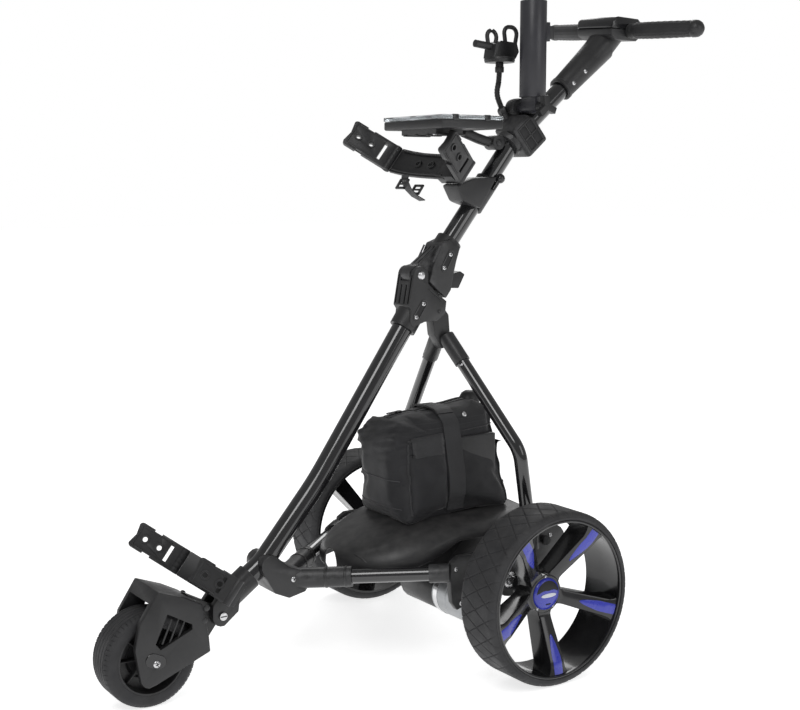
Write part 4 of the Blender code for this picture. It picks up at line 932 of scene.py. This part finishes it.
def bag_side(skin, name, side):
    """One wall of the bag: strap, pocket with painted shade in its mouth, flap, piping and two rows of
    stitches.
    """
    way, y = (0, -side, 0), side * 0.2
    strip_on(skin, f"bag_strap_{name}", spaced(at(STRAP_X, y, 0.242), at(STRAP_X, y, 0.398), 24), way,
             (1, 0, 0), 0.033, 0.0032, WEBBING)
    pocket = [at(x, 0, z) for x, z in ((-0.124, 0.246), (-0.054, 0.246), (-0.054, 0.352), (-0.128, 0.342))]
    patch_on(skin, f"bag_pocket_{name}", pocket, way, 0.0030, NYLON, bulge=0.005)
    # The pocket's mouth is a black strip under the flap: painted shade of the opening.
    mouth = spaced(at(-0.1235, y, 0.3395), at(-0.0560, y, 0.3495), 24)
    strip_on(skin, f"bag_pocket_mouth_{name}", mouth, way, UP, 0.0075, 0.0026, BLACK_AND_PAINTED_SHADE)
    flap = [at(x, 0, z) for x, z in ((-0.120, 0.336), (-0.054, 0.336), (-0.053, 0.372), (-0.122, 0.370))]
    patch_on(skin, f"bag_flap_{name}", flap, way, 0.0052, WEBBING, 10, 18)
    for label, start, end, count, radius in (("rear", (0.0745, 0.243), (0.0600, 0.372), 24, 0.0017),
                                             ("front", (-0.1250, 0.243), (-0.1300, 0.362), 24, 0.0015),
                                             ("eave", (-0.1300, 0.366), (0.0640, 0.374), 40, 0.0013)):
        edge = spaced(at(start[0], y, start[1]), at(end[0], y, end[1]), count)
        line_on(skin, f"bag_{label}_piping_{name}", edge, way, radius, WEBBING)
    for row, height in (("upper", 0.3880), ("lower", 0.3790)):
        starts = [at(-0.120 + 0.0040 * i, y, height + 0.0001 * i) for i in range(44)]
        spots = [on_skin(skin, start, way, 0.0001) for start in starts]
        dots = [block((0.0022, 0.0007, 0.0008), 0.0002, spot, 1) for spot in spots if spot is not None]
        piece(f"bag_stitches_{row}_{name}", merged(dots), "frame", STITCH, "bag_fabric")


def bag_top(skin):
    """The bag's ridge: strap, zip with its teeth and slider, the lead's boot, and a rivet each side."""
    above = 0.6
    strip_on(skin, "bag_strap_top", spaced(at(STRAP_X, -0.040, above), at(STRAP_X, 0.040, above), 24), DOWN,
             (1, 0, 0), 0.033, 0.0032, WEBBING)
    strip_on(skin, "bag_zip_tape", spaced(at(-0.126, 0, above), at(0.030, 0, above), 40), DOWN, (0, 1, 0),
             0.018, 0.0012, WEBBING)
    teeth = []
    for i in range(78):
        spot = on_skin(skin, at(-0.124 + 0.0020 * i, 0, above), DOWN, 0.0022)
        if spot is not None:
            spot.y += 0.0008 * (-1) ** i
            teeth.append(block((0.0011, 0.0052, 0.0018), 0.0003, spot, 1))
    piece("bag_zip_teeth", merged(teeth), "frame", GLOSS, "plastics")
    boot = disc([(0, 0.0180), (0.007, 0.0172), (0.0135, 0.0130), (0.0170, 0.0060), (0.0185, -0.003),
                 (0, -0.003)], 48)
    spot = on_skin(skin, at(0.0465, 0, above), DOWN, -0.002)
    piece("bag_lead_boot", boot, "frame", PLASTIC, "plastics", matrix=Matrix.Translation(spot))
    for name, side in SIDES.items():
        spot = on_skin(skin, at(0.0014, side * 0.2, 0.396), (0, -side, 0), 0.0004)
        screw_head(f"bag_rivet_{name}", spot, (0, side, 0.3), "frame", 0.0044, cross=False)
    slider = merged([rounded_box((0.010, 0.007, 0.004), 0.0012),
                     block((0.020, 0.005, 0.0016), 0.0006, (-0.013, 0.001, 0.001))])
    spot = on_skin(skin, at(-0.102, 0, above), DOWN, 0.0040)
    piece("bag_zip_slider", slider, "frame", GLOSS, "plastics",
          matrix=Matrix.Translation(spot) @ Matrix.Rotation(math.radians(-6), 4, "Y"))


# ---------------------------------------------------------------- main hinge
def long_pad(name, first, second, body, side, width=0.0135):
    """A raised oval pad round two screws on the side of a casting."""
    run = second - first
    rim = stadium(run.length + width, width)
    inner = stadium(run.length + width - 0.004, width - 0.004)
    place = (Matrix.Translation((first + second) / 2) @ Matrix.Rotation(-math.atan2(run.z, run.x), 4, "Y")
             @ along((0, side, 0), "Y"))
    if abs(place.to_3x3().col[0].dot(run.normalized())) <= 0.9:
        place = place @ Matrix.Rotation(QUARTER, 4, "Z")
    ring = lofted([[(x, y, z) for x, y in outline] for outline, z in
                   ((rim, 0.0), (rim, 0.0012), (inner, 0.0012), (inner, 0.0))], close=True)
    piece(name, ring, body, CASTING, "castings", matrix=place)
    # The black floor inside the pad's ring is painted shade in its hollow.
    piece(name + "_floor", slab(inner, -0.0006, 0.0003, 0.0001), body, BLACK_AND_PAINTED_SHADE, "plastics", matrix=place)
    for i, spot in enumerate((first, second)):
        screw_head(f"{name}_screw_{i}", spot, (0, side, 0), body, 0.0042)


def hinge():
    refined(CASTING, "castings", 0.0012, 3, "lower_hinge_casting", "upper_hinge_casting")
    refined(STEEL, "zinc_steel", 0.0004, 2, "hinge_pin")
    refined(PLASTIC, "plastics", 0.0010, 3, "fold_latch")
    for name, side in SIDES.items():
        y, way = side * 0.0234, (0, side, 0)
        long_pad(f"hinge_upper_pad_{name}", at(-0.0110, y, 0.6669), at(-0.0243, y, 0.6447), "handle", side)
        long_pad(f"hinge_lower_pad_{name}", at(-0.0662, y, 0.5862), at(-0.0814, y, 0.5645), "frame", side)
        boss = disc([(0, 0.0030), (0.0040, 0.0029), (0.0062, 0.0022), (0.0072, 0.0008), (0.0074, -0.003),
                     (0, -0.003)], 48)
        piece(f"hinge_boss_{name}", boss, "frame", STEEL, "zinc_steel",
              matrix=facing(Vector((FOLD.x, side * 0.0240, FOLD.z)), way))
        for i, z in enumerate((0.5980, 0.5719)):
            rivet = disc([(0, 0.0018), (0.0024, 0.0016), (0.0034, 0.0004), (0.0036, -0.002), (0, -0.002)], 32)
            piece(f"hinge_rivet_{i}_{name}", rivet, "frame", CASTING, "castings",
                  matrix=facing(at(-0.0343, side * 0.0236, z), way))
        rib = swept([at(-0.0480, y, 0.655), at(-0.0330, y, 0.682)], circle(0.0016, 12))
        piece(f"hinge_upper_rib_{name}", rib, "handle", CASTING, "castings")
        rib = swept([at(-0.0560, y, 0.610), at(-0.0420, y, 0.600), at(-0.0300, y, 0.590)], circle(0.0014, 12))
        piece(f"hinge_lower_rib_{name}", rib, "frame", CASTING, "castings")
    ridges = [block((0.0016, 0.0190, 0.0014), 0.0005, at(0.0185 + 0.0016 * i, 0, 0.6150 + 0.0028 * i), 2,
                    Matrix.Rotation(math.radians(-60), 4, "Y")) for i in range(6)]
    piece("fold_latch_ridges", merged(ridges), "fold_latch", PLASTIC, "plastics")


# ---------------------------------------------------------------- golf bag brackets
# Each arm: its bracket's frame and body, its hinge there, the way it points, its length and its two ends.
ARMS = {
    "upper_left_arm": (UPPER_FRAME, "handle", (-0.0480, -0.0330, 0), 203, 0.086, -0.015, 0.030),
    "upper_right_arm": (UPPER_FRAME, "handle", (-0.0840, 0.1480, 0), 147, 0.086, -0.015, 0.035),
    "lower_left_arm": (LOWER_FRAME, "frame", (-0.0300, -0.0510, 0), 150, 0.066, -0.019, 0.024),
    "lower_right_arm": (LOWER_FRAME, "frame", (-0.0760, 0.0620, 0), 148, 0.080, -0.019, 0.024),
}


def arm_shoe(name, place, length, low, high):
    """A padded shoe's bosses, channel and end hooks, in the arm's own frame."""
    middle = 0.5 * (low + high)
    shapes = []
    for face, sign in ((0.0058, 1), (-0.0058, -1)):
        for x in (length - 0.016, length - 0.042):
            ring = turned([(0.0072, 0.0), (0.0070, 0.0018), (0.0046, 0.0018), (0.0044, 0.0)], 40)
            shapes.append(moved(ring, Matrix.Translation((x, face, middle))
                                @ Matrix.Rotation(-QUARTER * sign, 4, "X")))
        for z in (low + 0.0045, high - 0.0045):
            shapes.append(block((length - 0.030, 0.0030, 0.0030), 0.0012, (0.5 * length + 0.008, face, z)))
        shapes.append(block((0.0030, 0.0030, high - low - 0.010), 0.0012, (length - 0.003, face, middle)))
    piece(f"{name}_shoe", merged(shapes), name, PLASTIC, "plastics", matrix=place)


def arm_barrel(name, place, body, low, high):
    """The ribbed barrel round an arm's hinge pin, at the end of the saddle."""
    count = 5
    pitch = (high - low - 0.004) / count
    profile = [(AXLE_END, low), (0.0066, low), (0.0078, low + 0.0010)]
    for i in range(count):
        start = low + 0.002 + pitch * i
        stop = start + pitch
        profile += [(0.0080, start + 0.0004), (0.0080, stop - 0.0010), (0.0075, stop - 0.0006)]
    profile += [(0.0078, high - 0.0010), (0.0066, high), (AXLE_END, high)]
    piece(f"{name}_barrel", turned(profile, 48), body, PLASTIC, "plastics", matrix=place)


def brackets():
    refined(PLASTIC, "plastics", 0.0010, 3, "upper_bracket_block", "upper_saddle", "lower_bracket_block",
            *ARMS)
    refined(GLOSS, "plastics", 0.0004, 2, "bracket_knob")
    for name, (bracket, body, hinge_at, degrees, length, low, high) in ARMS.items():
        pin = bracket @ Matrix.Translation(hinge_at)
        arm_shoe(name, pin @ Matrix.Rotation(math.radians(degrees), 4, "Z"), length, low, high)
        if "right" in name:
            arm_barrel(name, pin, body, low, high)
    ribs = []
    for z in (-0.0105, 0.0300):
        path = [UPPER_FRAME @ Vector((x, y, z)) for x, y in
                ((-0.0615, 0.004), (-0.0632, 0.030), (-0.0652, 0.060), (-0.0682, 0.090), (-0.0742, 0.118),
                 (-0.0800, 0.134))]
        ribs.append(swept(path, circle(0.0016, 12), UPPER_FRAME.to_3x3() @ UP))
    piece("upper_saddle_ribs", merged(ribs), "handle", PLASTIC, "plastics")
    for i, (x, y) in enumerate(((-0.0648, 0.050), (-0.0677, 0.085))):
        boss = turned([(0.0075, 0.0), (0.0070, 0.0016), (0.0045, 0.0016), (0.0040, 0.0)], 40)
        spot, out = UPPER_FRAME @ Vector((x, y, 0.010)), UPPER_FRAME.to_3x3() @ Vector((-1, -0.06, 0))
        piece(f"upper_saddle_boss_{i}", boss, "handle", PLASTIC, "plastics", matrix=facing(spot, out))
    tape = swept([at(-0.0640, 0.036, 0.8000), at(-0.0660, 0.036, 0.7900), at(-0.0600, 0.034, 0.7760),
                  at(-0.0480, 0.032, 0.7640), at(-0.0330, 0.030, 0.7560)],
                 [(-0.010, 0), (-0.010, 0.0016), (0.010, 0.0016), (0.010, 0)])
    piece("bag_loop_tape", tape, "handle", WEBBING, "bag_fabric")
    for i, (x, z) in enumerate(((-0.0713, 0.7845), (-0.0418, 0.7748))):
        bars = [block((0.0040, 0.0260, 0.0040), 0.0012, (0, 0, end)) for end in (0.008, -0.008)]
        bars += [block((0.0040, 0.0040, 0.0200), 0.0012, (0, end, 0)) for end in (0.011, -0.011)]
        bars.append(rounded_box((0.0030, 0.0240, 0.0030), 0.0010))
        piece(f"bag_loop_buckle_{i}", merged(bars), "handle", PLASTIC, "plastics",
              matrix=Matrix.Translation(at(x, 0.033, z)) @ Matrix.Rotation(math.radians(35), 4, "Y"))


# ---------------------------------------------------------------- accessories
def accessory_clamp():
    refined(PLASTIC, "plastics", 0.0014, 3, "accessory_clamp")
    for name, side in SIDES.items():
        y = side * 0.0284
        bars = [block((0.0032, 0.0022, 0.0380), 0.0010, (x, y, 0.006)) for x in (-0.0180, 0.0050, 0.0280)]
        bars += [block((0.0480, 0.0022, 0.0032), 0.0010, (0.005, y, z)) for z in (-0.0115, 0.0060, 0.0235)]
        piece(f"accessory_clamp_grid_{name}", merged(bars), "handle", PLASTIC, "plastics", matrix=CLAMP_FRAME)
        # The black panels sunk in the grid's cells are painted shade in the recesses.
        cells = [block((0.0185, 0.0010, 0.0130), 0.0004, (x, side * 0.0280, z))
                 for x in (-0.0065, 0.0165) for z in (-0.0028, 0.0148)]
        piece(f"accessory_clamp_cells_{name}", merged(cells), "handle", BLACK_AND_PAINTED_SHADE, "plastics", matrix=CLAMP_FRAME)


def umbrella():
    refined(UMBRELLA_GREY, "plastics", 0.0008, 2, "umbrella_tube")
    refined(PLASTIC, "plastics", 0.0012, 3, "umbrella_screw")
    refined(PLASTIC, "plastics", 0.0016, 3, "wing_knob")
    teeth = [block((0.0016, 0.0016, 0.0160), 0.0005, (x, y, 0), 2) for x, y in circle(0.0172, 30)]
    teeth.append(turned([(0.0170, -0.008), (0.0170, 0.008), (0.0150, 0.008), (0.0150, -0.008)], 60))
    piece("umbrella_joint_ratchet", merged(teeth), "handle", PLASTIC, "plastics",
          matrix=Matrix.Translation((UMBRELLA.x, 0.0185, UMBRELLA.z)) @ Matrix.Rotation(QUARTER, 4, "X"))
    rings = []
    for i in range(5):
        ring = turned([(0.0092, -0.0006), (0.0097, 0), (0.0092, 0.0006), (0.0085, 0.0006),
                       (0.0085, -0.0006)], 40)
        rings.append(moved(ring, Matrix.Translation((0, 0, -0.0205 - 0.0022 * i))))
    piece("wing_knob_rings", merged(rings), "wing_knob", PLASTIC, "plastics",
          matrix=Matrix.Translation((UMBRELLA.x, 0, UMBRELLA.z)) @ Matrix.Rotation(-QUARTER, 4, "X"))


def tray():
    refined(PLASTIC, "plastics", 0.0014, 3, "scorecard_tray")
    refined(CLEAR, "clear_lid", 0.0008, 2, "tray_lid")
    lid_low, lid_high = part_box("tray_lid")
    middle = (lid_low.x + lid_high.x) / 2
    for name, side in SIDES.items():
        y = side * (abs(lid_low.y) - 0.0004)
        for i, x in enumerate((middle - 0.035, middle + 0.030)):
            clip = merged([rounded_box((0.0110, 0.0030, 0.0090), 0.0010),
                           block((0.0110, 0.0040, 0.0024), 0.0008, (0, -side * 0.0010, 0.0042))])
            piece(f"tray_clip_{i}_{name}", clip, "tray_lid", GLOSS, "plastics",
                  matrix=Matrix.Translation((x, y, lid_high.z - 0.0045)))
    ribs_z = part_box("scorecard_tray")[0].z + 0.0225
    ribs = [block((0.0520, 0.0090, 0.0028), 0.0012, (middle - 0.018, -0.050 + 0.033 * i, ribs_z))
            for i in range(4)]
    piece("tray_inner_ribs", merged(ribs), "tray", PLASTIC, "plastics")
    for i, (x, y) in enumerate(((-0.050, -0.030), (-0.050, 0.050), (-0.006, -0.030), (-0.006, 0.050))):
        screw_head(f"tray_rivet_{i}", at(x, y, 0.8654), DOWN, "tray", 0.0036, cross=False)
    for name, side in SIDES.items():
        screw_head(f"tray_pivot_screw_{name}", at(0.097, side * 0.0142, 0.8550), (0, side, 0), "tray", 0.0062,
                   cross=False, finish=PLASTIC)


def phone_stalk():
    refined(PLASTIC, "plastics", 0.0012, 3, "phone_cradle")
    refined(PLASTIC, "plastics", 0.0004, 2, "gooseneck")
    foot, way = at(0.1430, 0.030, 0.9030), Vector((-0.45, 0, 0.893))
    path = dense(bent([foot, foot + way * 0.0420, CRADLE - Vector((0.002, 0, 0.0360)),
                       CRADLE - Vector((0, 0, 0.0160))], [0.03, 0.03]), 0.0008)
    first, count = 6, len(path) - 8
    braid = [ring_at(path[first + i], way_at(path, first + i), Vector((0, 1, 0)),
                     circle(0.0047 + 0.00045 * math.cos(i * math.pi / 1.5), 24)) for i in range(count)]
    piece("gooseneck_braid", lofted(braid), "handle", GRIP, "grips")
    gland = turned([(0.0080, 0.0), (0.0088, 0.002), (0.0088, 0.008), (0.0070, 0.011), (0.0052, 0.012),
                    (0.0048, 0.012), (0.0048, 0.0)], 6)
    piece("gooseneck_gland", gland, "handle", PLASTIC, "plastics", matrix=facing(foot + way * 0.0045, way),
          angle=25)
    collar = turned([(0.0072, -0.001), (0.0078, 0.001), (0.0078, 0.008), (0.0062, 0.011), (0.0048, 0.011),
                     (0.0048, -0.001)], 40)
    piece("gooseneck_collar", collar, "handle", PLASTIC, "plastics",
          matrix=Matrix.Translation(CRADLE - Vector((0, 0, 0.0160))))
    rim = turned([(0.0258, 0.0012), (0.0268, 0.0030), (0.0268, 0.0062), (0.0256, 0.0084), (0.0240, 0.0090),
                  (0.0240, 0.0012)], 72)
    piece("phone_cradle_rim", rim, "phone_cradle", PLASTIC, "plastics", matrix=Matrix.Translation(CRADLE))


# ---------------------------------------------------------------- handle
def stem_details():
    """The stem's collar and dark seam at its foot, in the handle's own direction."""
    seam = turned([(0.0214, -0.0010), (0.0222, 0), (0.0214, 0.0010), (0.0200, 0.0010), (0.0200, -0.0010)], 72)
    piece("handle_stem_seam", seam, "handle", BLACK_AND_PAINTED_SHADE, "plastics",
          matrix=facing(STEM_FOOT + HANDLE_WAY * 0.0060, HANDLE_WAY))
    collar = turned([(0.0206, -0.004), (0.0220, -0.003), (0.0222, 0.003), (0.0210, 0.0045), (0.0180, 0.0045),
                     (0.0180, -0.004)], 72)
    piece("handle_stem_collar", collar, "handle", PLASTIC, "plastics",
          matrix=facing(STEM_FOOT + HANDLE_WAY * 0.0040, HANDLE_WAY))


def stem_screws(name, side):
    for i, spot in enumerate((at(0.2583, 0, 0.9613), at(0.2845, 0, 0.9820))):
        reach = (spot - STEM_FOOT).dot(HANDLE_WAY)
        out = Vector((0, side * (0.0205 + 0.0052 * reach / 0.126), 0))
        screw_head(f"handle_stem_screw_{i}_{name}", STEM_FOOT + HANDLE_WAY * reach + out, (0, side, 0),
                   "handle", 0.0040)


def grip(name, side):
    """A soft grip that curves back a little, ribbed along its middle, with a domed end."""
    path = dense(bent([(0.0100, side * 0.0454, -0.0020), (0.0110, side * 0.0800, -0.0020),
                       (0.0360, side * 0.1760, 0.0010)], [0.12], 20), 0.002)
    rings = []
    for i, p in enumerate(path):
        t = i / (len(path) - 1)
        swell = 0.0138 + 0.0009 * math.sin(math.pi * t) - 0.0012 * max(0, 1 - t / 0.08)
        if 0.06 < t < 0.10:
            swell -= 0.0012
        deep = 0.00045 * (0.5 + 0.5 * math.cos(i * math.pi / 3)) if 0.14 < t < 0.92 else 0.0
        radii = [(a, swell + deep * math.cos(16 * a)) for a in around(64)]
        rings.append(ring_at(p, way_at(path, i), UP, [(r * math.sin(a), r * math.cos(a)) for a, r in radii]))
    piece(f"{name}_grip_rubber", lofted(rings), "handle", GRIP, "grips", f"{name}_grip", matrix=TWIST)
    run = (path[-1] - path[-3]).normalized()
    cap = disc([(0, 0.0145), (0.006, 0.0132), (0.0110, 0.0098), (0.0142, 0.0045), (0.0149, 0.0),
                (0.0149, -0.006), (0.0136, -0.008), (0, -0.008)], 64)
    piece(f"{name}_grip_end", cap, "handle", PLASTIC, "grips",
          matrix=TWIST @ facing(path[-1] - run * 0.001, run))


def stem_gusset():
    """The neck that swells from the stem's end up into the console."""
    start, reach = 0.3020, 0.06
    rings = []
    for x, z, deep in ((start, 0.9980, 0.0236), (0.3200, 1.0140, 0.0250), (0.3360, 1.0290, 0.0268),
                       (0.3490, 1.0430, 0.0290), (0.3560, 1.0520, 0.0300)):
        tilt = facing(at(x, 0, z), HANDLE_WAY.lerp(UP, (x - start) / reach))
        rings.append([tilt @ Vector((a, b, 0)) for a, b in circle(deep, 48)])
    piece("handle_stem_gusset", lofted(rings), "handle", PLASTIC, "plastics")


def handle():
    refined(PLASTIC, "plastics", 0.0012, 3, "handle_stem")
    refined(PLASTIC, "plastics", 0.0014, 3, "console_base")
    refined(GLOSS, "plastics", 0.0020, 3, "console_cover")
    refined(BOARD, "circuit_board", 0.0003, 2, "controller_board")
    refined(BLUE, "blue_trim", 0.0008, 3, "speed_dial")
    refined(BLUE, "blue_trim", 0.0010, 3, "power_button")
    stem_details()
    for name, side in SIDES.items():
        stem_screws(name, side)
        grip(name, side)
    stem_gusset()
    display = block((0.0300, 0.0240, 0.0010), 0.0004, (0.0140, 0.0180, 0.0160))
    piece("console_display", display, "handle", BLACK_AND_PAINTED_SHADE, "plastics", matrix=TWIST)
    ring = turned([(0.0162, 0.0), (0.0162, 0.0012), (0.0156, 0.0018), (0.0154, 0.0)], 72)
    piece("console_dial_ring", ring, "handle", CHROME, "motor_shell",
          matrix=TWIST @ Matrix.Translation((-0.0060, 0.0120, 0.0148)))


# ---------------------------------------------------------------- stage
def area_light(name, energy, size, place, target):
    data = bpy.data.lights.new(name, "AREA")
    data.energy = energy
    data.shape = "RECTANGLE"
    data.size, data.size_y = size
    obj = linked(name, data)
    obj.location = place
    obj.rotation_euler = (Vector(target) - Vector(place)).to_track_quat("-Z", "Y").to_euler()


def surroundings():
    """White straight ahead of the camera, and a dimmer room for everything that lights the trolley."""
    world = bpy.data.worlds.new("studio")
    bpy.context.scene.world = world
    world.use_nodes = True
    tree = world.node_tree
    room = tree.nodes["Background"]
    room.inputs["Color"].default_value = (1, 1, 1, 1)
    room.inputs["Strength"].default_value = 0.34
    ahead = added(tree, "Background", {"Color": (1, 1, 1, 1), "Strength": 1.0})
    seen = added(tree, "LightPath", {}).outputs["Is Camera Ray"]
    both = added(tree, "MixShader", {"Fac": seen, 1: room.outputs["Background"],
                                     2: ahead.outputs["Background"]})
    tree.links.new(both.outputs["Shader"], tree.nodes["World Output"].inputs["Surface"])


def stage():
    half = 20
    corners = [(-half, -half, 0), (half, -half, 0), (half, half, 0), (-half, half, 0)]
    floor = linked("floor", mesh_of(corners, [(0, 1, 2, 3)]))
    white = surface("floor_white", (0.93, 0.93, 0.93), 0.6, mottle=0.004, spread=0.04, grain=20, bump=0.004)
    shader = white.node_tree.nodes["Principled BSDF"]
    shader.inputs["Emission Color"].default_value = (1, 1, 1, 1)
    shader.inputs["Emission Strength"].default_value = 0.72
    floor.data.materials.append(white)
    surroundings()
    area_light("key", 22, (1.0, 1.4), (-1.6, -1.4, 2.6), (0.05, 0, 0.4))
    area_light("fill", 8, (1.2, 1.2), (0.9, -2.6, 1.5), (0.05, 0, 0.4))
    area_light("rim", 14, (1.0, 1.6), (1.6, 1.8, 2.2), (0.05, 0, 0.5))
    view = bpy.context.scene.view_settings
    view.view_transform = "Standard"
    view.look = "None"


def camera():
    """The camera stands to the front left and looks down a little."""
    look_right, look_down = 34.03, 7.48
    data = bpy.data.cameras.new("camera")
    data.lens, data.sensor_width = 59.26, 36
    data.clip_start, data.clip_end = 0.05, 100
    obj = linked("camera", data)
    obj.location = at(-1.3235, -1.8139, 0.7876)
    obj.rotation_euler = (math.radians(90 - look_down), 0, math.radians(-look_right))
    bpy.context.scene.camera = obj


# ---------------------------------------------------------------- build
for label, sign in SIDES.items():
    rear_wheel(label, sign)
    hub_cap(label, sign)
for make in (bright_axle, front_wheel, fork_details, tubes, chassis_castings, drive_pieces, cover, battery,
             hinge, brackets, accessory_clamp, umbrella, tray, phone_stalk, handle, stage, camera):
    make()
